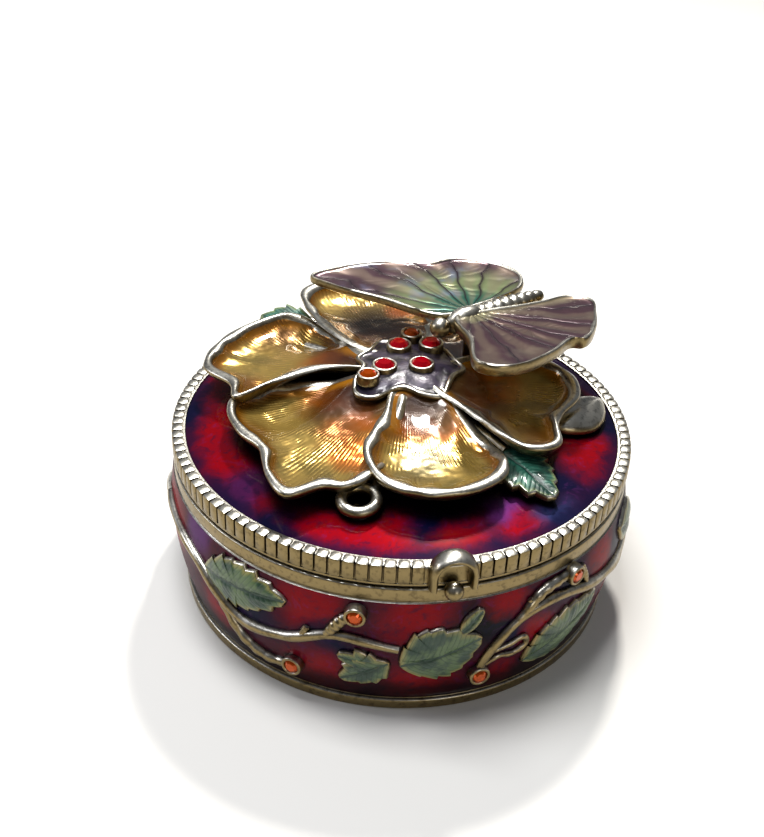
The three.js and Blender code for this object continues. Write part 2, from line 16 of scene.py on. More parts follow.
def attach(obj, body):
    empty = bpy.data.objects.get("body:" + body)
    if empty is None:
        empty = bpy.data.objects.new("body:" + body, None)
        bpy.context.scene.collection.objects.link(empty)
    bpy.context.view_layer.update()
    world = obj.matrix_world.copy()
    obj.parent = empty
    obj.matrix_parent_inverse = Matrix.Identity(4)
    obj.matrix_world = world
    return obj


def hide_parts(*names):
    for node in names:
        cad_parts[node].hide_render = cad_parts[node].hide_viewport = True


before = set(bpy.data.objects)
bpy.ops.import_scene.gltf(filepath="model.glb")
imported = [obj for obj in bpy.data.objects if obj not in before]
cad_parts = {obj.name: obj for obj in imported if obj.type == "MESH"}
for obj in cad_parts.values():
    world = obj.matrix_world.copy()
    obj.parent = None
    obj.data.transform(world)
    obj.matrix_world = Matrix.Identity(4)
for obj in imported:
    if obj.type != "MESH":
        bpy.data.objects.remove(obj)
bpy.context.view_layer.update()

# %% [markdown]
# ## Sizes
# A jeweller would note these with a caliper. They are millimetres, as on the real box, and each mesh is
# scaled to metres only when it is finished. The origin is the middle of the underside, the catch is at -Y
# and the hinge at +Y.

# %% Driving dimensions
MM = 0.001
TURN = 2 * math.pi
ROUND = 192

FOOT_RADIUS = 29.2
FOOT_TOP = 1.5
ENAMEL_FOOT = 28.9
BULGE_RADIUS = 30.6
BULGE_HEIGHT = 13.0
SIDE_BOTTOM = 1.9
SIDE_TOP = 18.2
SIDE_SHRINK = 0.5
SIDE_WALL = 2.1
FLOOR = 1.8
LIP_RADIUS = 30.0
LIP_BOTTOM = 18.6
SEAT = 20.3
NECK_OUTER = 27.6
NECK_INNER = 26.4
NECK_TOP = 21.3

LID_BOTTOM = 20.6
LID_INNER = 28.0
LID_CROWN = 25.5
LID_DROP = 2.3
LID_WALL = 1.3
RIM_INNER = 28.3
RIM_OUTER = 29.4
RIM_TOP = 23.6
TOOTH_COUNT = 118
TOOTH_OUTER = 30.05
TOOTH_BOTTOM = 21.0
TOOTH_ROOT = 29.72
BEAD_RADIUS = 29.85

PETAL_CREST = 28.7
PETAL_REACH = 26.0
FLOWER_MIDDLE = Vector((1.2, 3.4))
COLLAR_TOP = 29.4


def side_radius(height):
    """The radius of the bowl's enamelled side at a height."""
    if height > BULGE_HEIGHT:
        return BULGE_RADIUS - SIDE_SHRINK * ((height - BULGE_HEIGHT) / (SIDE_TOP - BULGE_HEIGHT)) ** 2
    share = max(0.0, height - SIDE_BOTTOM) / (BULGE_HEIGHT - SIDE_BOTTOM)
    return ENAMEL_FOOT + (BULGE_RADIUS - ENAMEL_FOOT) * math.sin(share * math.pi / 2)


def outward(azimuth):
    """The level direction away from the axis. Azimuths are degrees from the catch, positive to the right."""
    angle = math.radians(azimuth - 90)
    return Vector((math.cos(angle), math.sin(angle), 0))


def on_side(azimuth, height, proud=0.0):
    return outward(azimuth) * (side_radius(height) + proud) + Vector((0, 0, height))


def lid_top(radius):
    """The height of the lid's enamelled dome at a distance from the axis."""
    return LID_CROWN - LID_DROP * (radius / RIM_INNER) ** 2


def over_lid(x, y, above):
    return Vector((x, y, lid_top(math.hypot(x, y)) + above))


print("box across the bulge", 2 * BULGE_RADIUS, "mm, lid crown at", LID_CROWN, "mm")

# %% [markdown]
# ## Helpers for colour and nodes
# Finishes are procedural. One function turns a hex colour into the linear values that shaders work in, and
# one adds a node with its settings and links, so that each material below reads as a short recipe. A table
# says what a short name stands for: the node, its usual settings, the sockets its values go to, and its
# output.

# %% Colour and node helpers
NODES = {
    "mix": ("Mix", {"data_type": "RGBA"}, (0, 6, 7), 2),
    "ramp": (
        "MapRange", {"interpolation_type": "SMOOTHSTEP"}, ("Value", "From Min", "From Max", "To Max"),
        "Result"),
    "noise": ("TexNoise", {}, ("Vector", "Scale", "Detail"), "Fac"),
    "vector": ("VectorMath", {}, (0, 1), 0),
    "stretch": ("VectorMath", {"operation": "SCALE"}, (0, "Scale"), 0),
    "height": ("SeparateXYZ", {}, (0,), "Z"),
    "place": ("TexCoord", {}, (), "Object"),
    "attribute": ("Attribute", {}, (), "Fac"),
    "open air": ("AmbientOcclusion", {}, ("Distance",), "AO"),
    "bump": ("Bump", {}, ("Height", "Strength", "Distance", "Normal"), 0),
}
DETAIL = 3.0
FLATTEN = (1, 1, 0)


def paint(hex_code):
    channels = [int(hex_code[i:i + 2], 16) / 255 for i in (1, 3, 5)]
    return (*[c / 12.92 if c <= 0.04045 else ((c + 0.055) / 1.055) ** 2.4 for c in channels], 1.0)


def feed(tree, node, inputs):
    """Gives each socket of a node its value, or the socket that feeds it."""
    for key, value in inputs.items():
        if isinstance(value, bpy.types.NodeSocket):
            tree.links.new(value, node.inputs[key])
        else:
            node.inputs[key].default_value = value


def add(tree, kind, *values, output=None, **settings):
    """Adds a node of the table, or a math node named by its operation, and gives its output."""
    node_type, usual, sockets, result = NODES.get(kind, ("Math", {"operation": kind}, (0, 1, 2), 0))
    node = tree.nodes.new("ShaderNode" + node_type)
    for key, value in {**usual, **settings}.items():
        setattr(node, key, value)
    feed(tree, node, dict(zip(sockets, values)))
    return node.outputs[result if output is None else output]


def new_material(name):
    material = bpy.data.materials.new(name)
    material.use_nodes = True
    return material, material.node_tree, material.node_tree.nodes["Principled BSDF"]


def in_mm(tree):
    """Object coordinates as millimetres, so that pattern sizes below are real ones."""
    return add(tree, "stretch", add(tree, "place"), 1 / MM)


print("kinds of node in the table:", len(NODES))

# %% [markdown]
# ## Cast metal
# The bare metal is a zinc alloy casting with a pale brass plating that was darkened, then rubbed back.
# Wear laid by noise turns the metal silvery, and so does facing upwards, which is a painted reflection of the
# light overhead. Hollows keep a brown tone of patina, as fine specks do. Ambient occlusion finds the hollows,
# and the surface direction the upward faces. The casting's grain is a bump.

# %% Metal finishes
GRAIN_MM = 0.35
WEAR_MM = 2.5
SPECK_MM = 0.6
HOLLOW_MM = 0.9


def cast_metal(name, hollow, plating, rubbed_and_lit, roughness):
    material, tree, shader = new_material(name)
    place = in_mm(tree)
    upward = add(tree, "height", add(tree, "place", output="Normal"))
    wear = add(tree, "noise", place, 1 / WEAR_MM, DETAIL)
    # Upward faces turn silvery as a painted reflection of the light overhead, on top of real wear from noise.
    top = add(tree, "ramp", add(tree, "MULTIPLY_ADD", wear, 0.6, upward), 0.62, 1.25)
    colour = add(tree, "mix", top, paint(plating), paint(rubbed_and_lit))
    specks = add(tree, "ramp", add(tree, "noise", place, 1 / SPECK_MM, DETAIL), 0.5, 0.7, 0.45)
    colour = add(tree, "mix", specks, colour, paint(hollow))
    clean = add(tree, "ramp", add(tree, "open air", HOLLOW_MM * MM, samples=6, only_local=True), 0.35, 0.85)
    colour = add(tree, "mix", clean, paint(hollow), colour)
    fine = add(tree, "noise", place, 1 / GRAIN_MM, DETAIL)
    feed(tree, shader, {
        "Base Color": colour,
        "Normal": add(tree, "bump", fine, 0.35, 0.08 * MM),
        "Roughness": add(tree, "MULTIPLY_ADD", wear, 0.2, roughness - 0.1),
        "Metallic": 1.0,
    })
    return material


# The fourth value of each is worn metal together with the painted reflection on upward faces.
ANTIQUE = cast_metal("antique_plated_zinc_casting", "#30261c", "#85744f", "#cfcdc4", 0.32)
LINING = cast_metal("satin_plated_lining", "#6b5a3e", "#b5a37a", "#cbbd98", 0.42)
print("metals made:", ANTIQUE.name, LINING.name)

# %% [markdown]
# ## Clouded enamel
# The grounds of bowl and lid are translucent enamel, laid wet in crimson and navy that ran into each other
# and then fired glossy. A cloud is a soft patch round a point of the surface: noise bends the place that is
# measured, so the patches bleed. Ambient occlusion darkens the enamel nearly to black where it meets metal,
# partly for enamel lying thick there and partly as painted shadow under petals, leaves and stems. A distance
# finds thick navy along the lid's rim, and a height lays painted shadow above the bowl's foot. A clear coat
# gives the glassy top.

# %% Enamel ground
CLOUD_MM = 4.0
CLOUD_DETAIL = 4.0
MOTTLE_MM = 1.1
MOTTLE_DETAIL = 5.0
WAVE_MM = 3.0
POOL_AND_SHADE_MM = 3.2
CRIMSON = "#7c000c"
DEEP_CRIMSON = "#420612"
PURPLE = "#3a1038"
MAUVE = "#50205a"
NAVY = "#0a0a28"
SLATE = "#272e56"
# A near-black for painted shadow, and for enamel lying thick against metal.
SHADOW_BLACK = "#020206"


def near_rim(tree, place):
    """1 beside the lid's standing edge."""
    flat = add(tree, "vector", place, FLATTEN, operation="MULTIPLY")
    return add(tree, "ramp", add(tree, "vector", flat, operation="LENGTH", output="Value"), 25.6, 28.0)


def foot_shadow(tree, place):
    """1 beside the foot ring, as painted shadow where the side curves in under its bulge."""
    return add(tree, "ramp", add(tree, "height", place), 6.4, 3.4)


def bleeding(tree, place, bend):
    """The place moved by soft noise, by up to half of bend mm each way."""
    drift = add(tree, "noise", place, 1 / CLOUD_MM, CLOUD_DETAIL, output="Color")
    centred = add(tree, "vector", drift, (0.5, 0.5, 0.5), operation="SUBTRACT")
    return add(tree, "vector", place, add(tree, "stretch", centred, bend), operation="ADD")


def cloud(tree, colour, place, patch, core, strength):
    """Lays a patch of (colour, point, reach) over a colour. core is the share of the reach that is full."""
    tint, point, reach = patch
    gap = add(tree, "vector", place, tuple(point), operation="DISTANCE", output="Value")
    return add(tree, "mix", add(tree, "ramp", gap, 1.1 * reach, core * reach, strength), colour, paint(tint))


def clouded_enamel(name, ground, patches, bend, border, border_tint, gloss):
    """Each patch lies over the ones before it. border(tree, place) is 1 along a metal border where the enamel
    is
    darkened: thick navy enamel along the lid's rim, painted shadow above the bowl's foot. gloss is the weight
    of the clear coat."""
    material, tree, shader = new_material(name)
    place = in_mm(tree)
    bent = bleeding(tree, place, bend)
    colour = paint(ground)
    for patch in patches:
        colour = cloud(tree, colour, bent, patch, 0.25, 1.0)
    mottle = add(tree, "noise", bent, 1 / MOTTLE_MM, MOTTLE_DETAIL)
    colour = add(tree, "mix", add(tree, "ramp", mottle, 0.52, 0.72, 0.5), colour, paint(NAVY))
    colour = add(tree, "mix", add(tree, "ramp", mottle, 0.46, 0.30, 0.2), colour, paint(MAUVE))
    # Darker along the border: thick navy enamel on the lid, painted shadow above the foot on the bowl.
    thick = add(tree, "MULTIPLY", border(tree, bent), 0.85)
    colour = add(tree, "mix", thick, colour, paint(border_tint))
    # Ambient occlusion blackens enamel against metal, partly as thick enamel and partly as painted shadow
    # under raised parts.
    pooled_and_shaded = add(tree, "ramp", add(tree, "open air", POOL_AND_SHADE_MM * MM, samples=8), 0.4, 0.93)
    feed(tree, shader, {
        "Base Color": add(tree, "mix", pooled_and_shaded, paint(SHADOW_BLACK), colour),
        "Normal": add(tree, "bump", add(tree, "noise", place, 1 / WAVE_MM, DETAIL), 0.3, 0.2 * MM),
        "Metallic": 0.3,
        "Roughness": 0.45,
        "Specular IOR Level": 0.0,
        "Coat Weight": gloss,
        "Coat Roughness": 0.07,
    })
    return material


# The lid's clouds as colour, azimuth from the catch, distance from the axis and reach.
LID_CLOUDS = [
    (CRIMSON, -92, 25.4, 7.5), (CRIMSON, -72, 25.4, 6.5), (PURPLE, -58, 24.6, 6.0), (CRIMSON, -47, 25.5, 4.5),
    (NAVY, -42, 27.0, 5.5), (CRIMSON, -30, 25.6, 6.5), (CRIMSON, -15, 25.0, 7.0), (NAVY, -2, 23.0, 5.0),
    # The mauve cloud at 20 degrees is a painted reflection on the glaze.
    (CRIMSON, 4, 26.5, 4.5), (MAUVE, 20, 22.4, 3.4), (CRIMSON, 22, 27.3, 4.5), (SLATE, 33, 26.8, 4.5),
    (NAVY, 45, 23.6, 5.5), (CRIMSON, 64, 25.0, 7.5), (NAVY, 80, 26.5, 5.0), (DEEP_CRIMSON, 100, 27.0, 8.0),
    (CRIMSON, 140, 22.0, 9.0), (NAVY, 160, 25.0, 7.0), (CRIMSON, 190, 24.0, 9.0), (NAVY, 215, 25.0, 7.0),
    # The near-black clouds at 5 and -24 degrees are painted shadow: under the front petal and in and around
    # the curled tendril.
    (CRIMSON, 240, 24.0, 8.0), (NAVY, -100, 28.6, 4.5), (SHADOW_BLACK, 5, 19.0, 5.0), (SHADOW_BLACK, -24, 20.5, 4.0),
]
# The side's clouds as colour, azimuth, height and reach.
SIDE_CLOUDS = [
    (CRIMSON, -82, 14.0, 6.0), (MAUVE, -66, 17.5, 4.0), (CRIMSON, -58, 7.5, 4.5), (NAVY, -47, 12.0, 6.0),
    (CRIMSON, -31, 16.0, 5.5), (NAVY, -27, 10.5, 5.0), (CRIMSON, -29, 5.0, 6.0), (CRIMSON, -8, 16.5, 5.5),
    # The near-black cloud at 8 degrees is painted shade between the stem and the leaves.
    (SHADOW_BLACK, 8, 14.0, 5.5), (CRIMSON, -6, 4.5, 6.0), (CRIMSON, 14, 17.0, 3.5), (NAVY, 17, 11.5, 4.5),
    (CRIMSON, 22, 11.0, 3.5), (CRIMSON, 14, 4.0, 3.5), (NAVY, 33, 16.0, 5.0), (CRIMSON, 45, 15.5, 4.0),
    (NAVY, 58, 15.0, 6.0), (CRIMSON, 60, 6.0, 6.0), (NAVY, 80, 8.0, 6.0), (CRIMSON, 92, 13.0, 6.0),
]
HALF_TURNS = (0, 180)


def lid_patches():
    return [
        (tint, over_lid(*(outward(azimuth) * away).xy, 0), reach)
        for tint, azimuth, away, reach in LID_CLOUDS
    ]


def side_patches():
    """The side's clouds, and the same again half a turn on, where the box is seen from behind."""
    return [
        (tint, on_side(azimuth + half, height), reach)
        for half in HALF_TURNS
        for tint, azimuth, height, reach in SIDE_CLOUDS
    ]


LID_ENAMEL = clouded_enamel("fired_lid_enamel", "#3c0a26", lid_patches(), 5.0, near_rim, NAVY, 0.45)
# The bowl's side darkens to black above the foot: painted shadow.
SIDE_ENAMEL = clouded_enamel("fired_side_enamel", "#40081a", side_patches(), 4.0, foot_shadow, SHADOW_BLACK, 0.18)
print("clouds on the lid", len(LID_CLOUDS), "and on the side", 2 * len(SIDE_CLOUDS))

# %% [markdown]
# ## Petal enamel
# Each petal is a dish of bright metal engraved with fine lines that fan out from the flower's middle. Honey
# enamel fills it: thin and pale in the open, thick and orange-brown towards the root and along the rim,
# with clouds laid by place as on the lid. Olive patches from noise are painted dark reflections in the glaze;
# one cloud is a painted reflection in the front petal and one the far wing's painted shadow on the back
# petal. The dish mesh carries its own flat coordinates as attributes, so the lines follow each petal.

# %% Petal enamel
# Engraved lines to a full turn. Near the rim they are half a millimetre apart, coarse enough to show.
ENGRAVED_LINES = 240
PETAL_BLOTCH_MM = 3.5
REFLECTION_PATCH_MM = 5.0
# Clouds in the petals as colour, the petal's direction, the place along and across it, and reach.
PETAL_CLOUDS = [
    ("#34180a", 221, 9.5, -3.5, 7.0), ("#8a4a10", 221, 15.0, 0.5, 4.0), ("#d06404", 221, 17.0, 4.6, 4.2),
    # The olive cloud in the front petal's hollow, at 267 degrees, is a painted reflection.
    ("#8a5a14", 221, 22.0, -7.5, 4.0), ("#34180a", 267, 8.0, 0.5, 7.6), ("#56543c", 267, 17.6, -0.2, 4.8),
    ("#3a1a0a", 325, 9.0, -0.6, 6.4), ("#8c5410", 325, 19.8, -4.6, 4.0), ("#5a300c", 158, 20.6, -8.6, 6.4),
    # The near-black cloud over the back petal, at 95 degrees, is the far wing's painted shadow.
    ("#8c540c", 158, 21.0, 6.4, 4.4), ("#34180a", 158, 9.5, -2.0, 6.0), ("#1c0a04", 95, 14.0, 0.7, 9.5),
    ("#c06010", 95, 17.6, -4.2, 2.6), ("#5a300c", 30, 12.0, 0.0, 8.0),
]


def turned(along, across, angle):
    """A flat place, given along a direction and across it, as x and y."""
    cosine, sine = math.cos(angle), math.sin(angle)
    return along * cosine - across * sine, along * sine + across * cosine


def from_flower(along, across, direction):
    x, y = turned(along, across, math.radians(direction))
    return FLOWER_MIDDLE.x + x, FLOWER_MIDDLE.y + y


def polar(tree):
    """How far a point is from the dish's root, and its angle there, from the mesh's flat coordinates."""
    along = add(tree, "attribute", attribute_name="flat_x")
    across = add(tree, "attribute", attribute_name="flat_y")
    square = add(tree, "MULTIPLY_ADD", along, along, add(tree, "MULTIPLY", across, across))
    return add(tree, "SQRT", square), add(tree, "ARCTAN2", across, along)


GLASS_IOR = 1.52


def glassy(metallic, roughness, coat, coat_roughness):
    """Shader values for enamel under a clear coat. metallic is how much of the metal below shows."""
    return {
        "Metallic": metallic, "Roughness": roughness, "Coat Weight": coat, "Coat Roughness": coat_roughness,
        "Coat IOR": GLASS_IOR,
    }


def petal_enamel():
    material, tree, shader = new_material("honey_enamel_over_engraving")
    place = in_mm(tree)
    reach, angle = polar(tree)
    blotch = add(tree, "noise", place, 1 / PETAL_BLOTCH_MM, DETAIL)
    far = add(tree, "MULTIPLY_ADD", blotch, 5.0, reach)
    colour = add(tree, "mix", add(tree, "ramp", far, 10.0, 14.0), paint("#2e1206"), paint("#b05c08"))
    colour = add(tree, "mix", add(tree, "ramp", far, 14.0, 19.0), colour, paint("#b2944a"))
    # Olive patches from noise are painted dark reflections in the glaze.
    olive_reflection = add(tree, "ramp", add(tree, "noise", place, 1 / REFLECTION_PATCH_MM, DETAIL), 0.5, 0.66, 0.6)
    colour = add(tree, "mix", olive_reflection, colour, paint("#6c6230"))
    flat = add(tree, "vector", bleeding(tree, place, 4.0), FLATTEN, operation="MULTIPLY")
    for tint, direction, along, across, spread in PETAL_CLOUDS:
        patch = (tint, (*from_flower(along, across, direction), 0), spread)
        colour = cloud(tree, colour, flat, patch, 0.2, 0.85)
    inner = add(tree, "MULTIPLY_ADD", blotch, 1.4, add(tree, "attribute", attribute_name="inset"))
    colour = add(tree, "mix", add(tree, "ramp", inner, 1.9, 3.4), paint("#96600f"), colour)
    wobble = add(tree, "MULTIPLY_ADD", blotch, 5.0, add(tree, "MULTIPLY", angle, ENGRAVED_LINES))
    depth = add(tree, "MULTIPLY", add(tree, "ramp", blotch, 0.38, 0.6), add(tree, "SINE", wobble))
    colour = add(tree, "mix", add(tree, "ramp", depth, 0.0, -1.0, 0.35), colour, paint("#5a3408"))
    lines = add(tree, "bump", depth, 0.5, 0.03 * MM)
    waves = add(tree, "noise", place, 1 / WAVE_MM, 2.0)
    feed(tree, shader, {
        "Base Color": colour,
        "Normal": add(tree, "bump", waves, 0.5, 0.5 * MM, lines),
        **glassy(0.6, 0.24, 1.0, 0.05),
    })
    showing = add(tree, "MULTIPLY_ADD", add(tree, "ramp", far, 12.5, 17.0), 0.5, 0.1)
    feed(tree, shader, {"Metallic": showing})
    return material


PETAL = petal_enamel()
print("petal enamel with", len(PETAL_CLOUDS), "clouds and", ENGRAVED_LINES, "lines to a full turn")

# %% [markdown]
# ## Collar, leaf and wing enamels
# The collar's slate blue is nearly opaque. The leaves' sage thins to lime along the edge, and the wings run
# from plum to green under patches of painted sheen. Veins come from a sine wave: its folds slant along a leaf
# and fan out over a wing.

# %% Collar, leaf and wing enamels
COLLAR_BLOTCH_MM = 1.6
LEAF_BLOTCH_MM = 2.2
WING_BLOTCH_MM = 2.0
PAINTED_SHEEN_MM = 4.5
STRAY_MM = 7.0
WING_VEINS = 17


def collar_enamel():
    material, tree, shader = new_material("slate_blue_enamel")
    blotch = add(tree, "noise", in_mm(tree), 1 / COLLAR_BLOTCH_MM, DETAIL)
    pale = add(tree, "ramp", blotch, 0.35, 0.65)
    feed(tree, shader, {
        "Base Color": add(tree, "mix", pale, paint("#100e1a"), paint("#3e3648")),
        "Normal": add(tree, "bump", blotch, 0.5, 0.3 * MM),
        **glassy(0.2, 0.35, 0.5, 0.08),
    })
    return material


def leaf_enamel(name, pale, deep, lime):
    """Enamel that thins to lime along the edge, with a groove for the midrib and slanting veins."""
    material, tree, shader = new_material(name)
    place = in_mm(tree)
    along = add(tree, "attribute", attribute_name="flat_x")
    aside = add(tree, "ABSOLUTE", add(tree, "attribute", attribute_name="flat_y"))
    blotch = add(tree, "noise", place, 1 / LEAF_BLOTCH_MM, DETAIL)
    colour = add(tree, "mix", add(tree, "ramp", blotch, 0.42, 0.62), paint(pale), paint(deep))
    inner = add(tree, "MULTIPLY_ADD", blotch, 0.9, add(tree, "attribute", attribute_name="inset"))
    colour = add(tree, "mix", add(tree, "ramp", inner, 0.5, 1.4), paint(lime), colour)
    slant = add(tree, "SUBTRACT", add(tree, "MULTIPLY", along, 4.2), add(tree, "MULTIPLY", aside, 3.4))
    veins = add(tree, "POWER", add(tree, "ABSOLUTE", add(tree, "SINE", slant)), 0.3)
    height = add(tree, "MULTIPLY", veins, add(tree, "ramp", aside, 0.0, 0.35))
    feed(tree, shader, {
        "Base Color": add(tree, "mix", add(tree, "ramp", height, 0.2, 0.75), paint(deep), colour),
        "Normal": add(tree, "bump", height, 0.6, 0.15 * MM),
        **glassy(0.15, 0.45, 0.35, 0.12),
    })
    return material


def wing_enamel(name, green_reach, plum, sheen_tint, band):
    """Plum enamel with veins that fan out from the thorax, through lime to teal at the root. band is how much
    of the pale metal shows through along the body."""
    material, tree, shader = new_material(name)
    place = in_mm(tree)
    reach, angle = polar(tree)
    blotch = add(tree, "noise", place, 1 / WING_BLOTCH_MM, DETAIL)
    far = add(tree, "MULTIPLY_ADD", blotch, 3.0, reach)
    lime = add(tree, "ramp", far, 0.45 * green_reach, 0.8 * green_reach)
    colour = add(tree, "mix", lime, paint("#22604e"), paint("#748056"))
    outer = add(tree, "ramp", far, 0.85 * green_reach, 1.35 * green_reach)
    colour = add(tree, "mix", outer, colour, paint(plum))
    # Noise lays patches of painted sheen in the given tint over the wings, standing for reflected light.
    painted_sheen = add(tree, "ramp", add(tree, "noise", place, 1 / PAINTED_SHEEN_MM, DETAIL), 0.52, 0.68, 0.55)
    colour = add(tree, "mix", painted_sheen, colour, paint(sheen_tint))
    stray = add(tree, "MULTIPLY", add(tree, "noise", place, 1 / STRAY_MM, 2.0), 3.0)
    fan = add(tree, "SINE", add(tree, "MULTIPLY_ADD", angle, WING_VEINS / 2, stray))
    lobe = add(tree, "POWER", add(tree, "ABSOLUTE", fan), 0.45)
    colour = add(tree, "mix", add(tree, "ramp", lobe, 0.8, 1.0, 0.35), colour, paint("#8c7c66"))
    colour = add(tree, "mix", add(tree, "ramp", lobe, 0.1, 0.75), paint("#2c1824"), colour)
    aside = add(tree, "MULTIPLY_ADD", blotch, 2.0, add(tree, "attribute", attribute_name="flat_y"))
    feed(tree, shader, {
        "Base Color": add(tree, "mix", add(tree, "ramp", aside, 4.6, 2.6, band), colour, paint("#8f8468")),
        "Normal": add(tree, "bump", lobe, 0.7, 0.3 * MM),
        **glassy(0.45, 0.3, 1.0, 0.08),
    })
    return material


COLLAR = collar_enamel()
LEAF = leaf_enamel("sage_leaf_enamel", "#4c6238", "#12351f", "#8a8244")
TEAL = leaf_enamel("teal_leaf_enamel", "#246050", "#08322a", "#748450")
# The fourth value of each is the tint of its painted sheen.
WING_FAR = wing_enamel("plum_to_green_wing_enamel", 12.0, "#4a2e38", "#6c7698", 0.0)
WING_NEAR = wing_enamel("dusty_plum_wing_enamel", 4.0, "#44242f", "#74685c", 0.7)
print("enamels made:", [m.name for m in (COLLAR, LEAF, TEAL, WING_FAR, WING_NEAR)])

# %% [markdown]
# ## Cut glass
# The stones are faceted glass rhinestones with a foiled back. Clear glass over foil throws its colour back,
# so the shader lets part of the light through and keeps a strong colour, with plain values on its own
# sockets.

# %% Stones' glass


def cut_glass(name, colour):
    material, tree, shader = new_material(name)
    feed(tree, shader, {
        "Base Color": paint(colour), "Roughness": 0.05, "Metallic": 0.5, "Specular IOR Level": 0.2,
        "Transmission Weight": 0.2, "Coat Weight": 0.25, "Coat Roughness": 0.02})
    return material


RUBY = cut_glass("red_foiled_glass", "#c8041c")
AMBER = cut_glass("amber_foiled_glass", "#c44c00")
print("glass made:", RUBY.name, AMBER.name)

# %% [markdown]
# ## Shaping helpers
# A turned form is a profile spun round the axis. A bar is a ring extruded step by step along a path. A dish
# is an outline extruded ring by ring, from its underside over the rim and into the hollow; each ring of
# points keeps its number, so a formula can place it. All of them work in millimetres.

# %% Shaping helpers
METAL_FACE, ENAMEL_FACE = 0, 1


def curve_through(points, count, closed=False):
    """Evenly spaced points on a centripetal Catmull-Rom curve through the given ones."""
    knots = [Vector(point) for point in points]
    if closed:
        knots = [knots[-1], *knots, knots[0], knots[1]]
    else:
        knots = [2 * knots[0] - knots[1], *knots, 2 * knots[-1] - knots[-2]]
    fine = []
    for before, start, end, after in zip(knots, knots[1:], knots[2:], knots[3:]):
        gaps = [math.sqrt((b - a).length) for a, b in ((before, start), (start, end), (end, after))]
        leave = ((start - before) / gaps[0] - (end - before) / (gaps[0] + gaps[1])) * gaps[1] + end - start
        arrive = ((after - end) / gaps[2] - (after - start) / (gaps[1] + gaps[2])) * gaps[1] + end - start
        for t in np.linspace(0, 1, 24, endpoint=False):
            bend = (2 * start - 2 * end + leave + arrive) * t + 3 * end - 3 * start - 2 * leave - arrive
            fine.append(start + leave * t + bend * t * t)
    fine.append(knots[-2])
    fine = np.array([list(point) for point in fine])
    walked = np.concatenate([[0], np.cumsum(np.linalg.norm(np.diff(fine, axis=0), axis=1))])
    stops = np.linspace(0, walked[-1], count + closed)[:count]
    return [Vector([np.interp(stop, walked, axis) for axis in fine.T]) for stop in stops]


def softened(profile, radius, steps=3):
    """A polyline of [radius, height] pairs with its inner corners rounded."""
    points = [Vector(point) for point in profile]
    soft = [points[0]]
    for before, corner, after in zip(points, points[1:], points[2:]):
        cut = min(radius, 0.45 * (before - corner).length, 0.45 * (after - corner).length)
        start = corner + (before - corner).normalized() * cut
        end = corner + (after - corner).normalized() * cut
        for i in range(steps + 1):
            t = i / steps
            soft.append(start * (1 - t) ** 2 + corner * 2 * t * (1 - t) + end * t * t)
    return [*soft, points[-1]]


def spin_profile(bm, profile, steps):
    """Turns [radius, height] pairs once round the upright axis."""
    verts = [bm.verts.new((radius, 0, height)) for radius, height in profile]
    edges = [bm.edges.new(pair) for pair in zip(verts, verts[1:])]
    bmesh.ops.spin(
        bm, geom=verts + edges, cent=(0, 0, 0), axis=(0, 0, 1), angle=TURN, steps=steps, use_merge=True)
    bmesh.ops.remove_doubles(bm, verts=bm.verts, dist=1e-4)


def extrude_ring(bm, edges, finish=METAL_FACE):
    """Extrudes a closed ring of edges in place. Gives its new points and edges."""
    made = bmesh.ops.extrude_edge_only(bm, edges=edges)["geom"]
    verts = [item for item in made if isinstance(item, bmesh.types.BMVert)]
    fresh = set(verts)
    for item in made:
        if isinstance(item, bmesh.types.BMFace):
            item.material_index = finish
    return verts, [e for e in made if isinstance(e, bmesh.types.BMEdge) and fresh.issuperset(e.verts)]


def sweep(bm, path, size, up, sides=12):
    """A bar along a path. size(t) gives its half width and half height, up(point) its upward direction."""
    frames = []
    for i, point in enumerate(path):
        tangent = (path[min(i + 1, len(path) - 1)] - path[max(i - 1, 0)]).normalized()
        across = tangent.cross(up(point)).normalized()
        width, height = size(i / (len(path) - 1))
        columns = (across * width, across.cross(tangent) * height, tangent)
        frames.append(Matrix.Translation(point) @ Matrix(columns).transposed().to_4x4())
    verts = bmesh.ops.create_circle(bm, cap_ends=True, segments=sides, radius=1.0)["verts"]
    edges = list({edge for vert in verts for edge in vert.link_edges})
    bmesh.ops.transform(bm, matrix=frames[0], verts=verts)
    for before, after in zip(frames, frames[1:]):
        verts, edges = extrude_ring(bm, edges)
        bmesh.ops.transform(bm, matrix=after @ before.inverted(), verts=verts)
    bmesh.ops.contextual_create(bm, geom=edges)


def marked(metal, enamel):
    """A dish's rings with their finish: bare metal first, then enamel."""
    return [(*ring, METAL_FACE) for ring in metal] + [(*ring, ENAMEL_FACE) for ring in enamel]


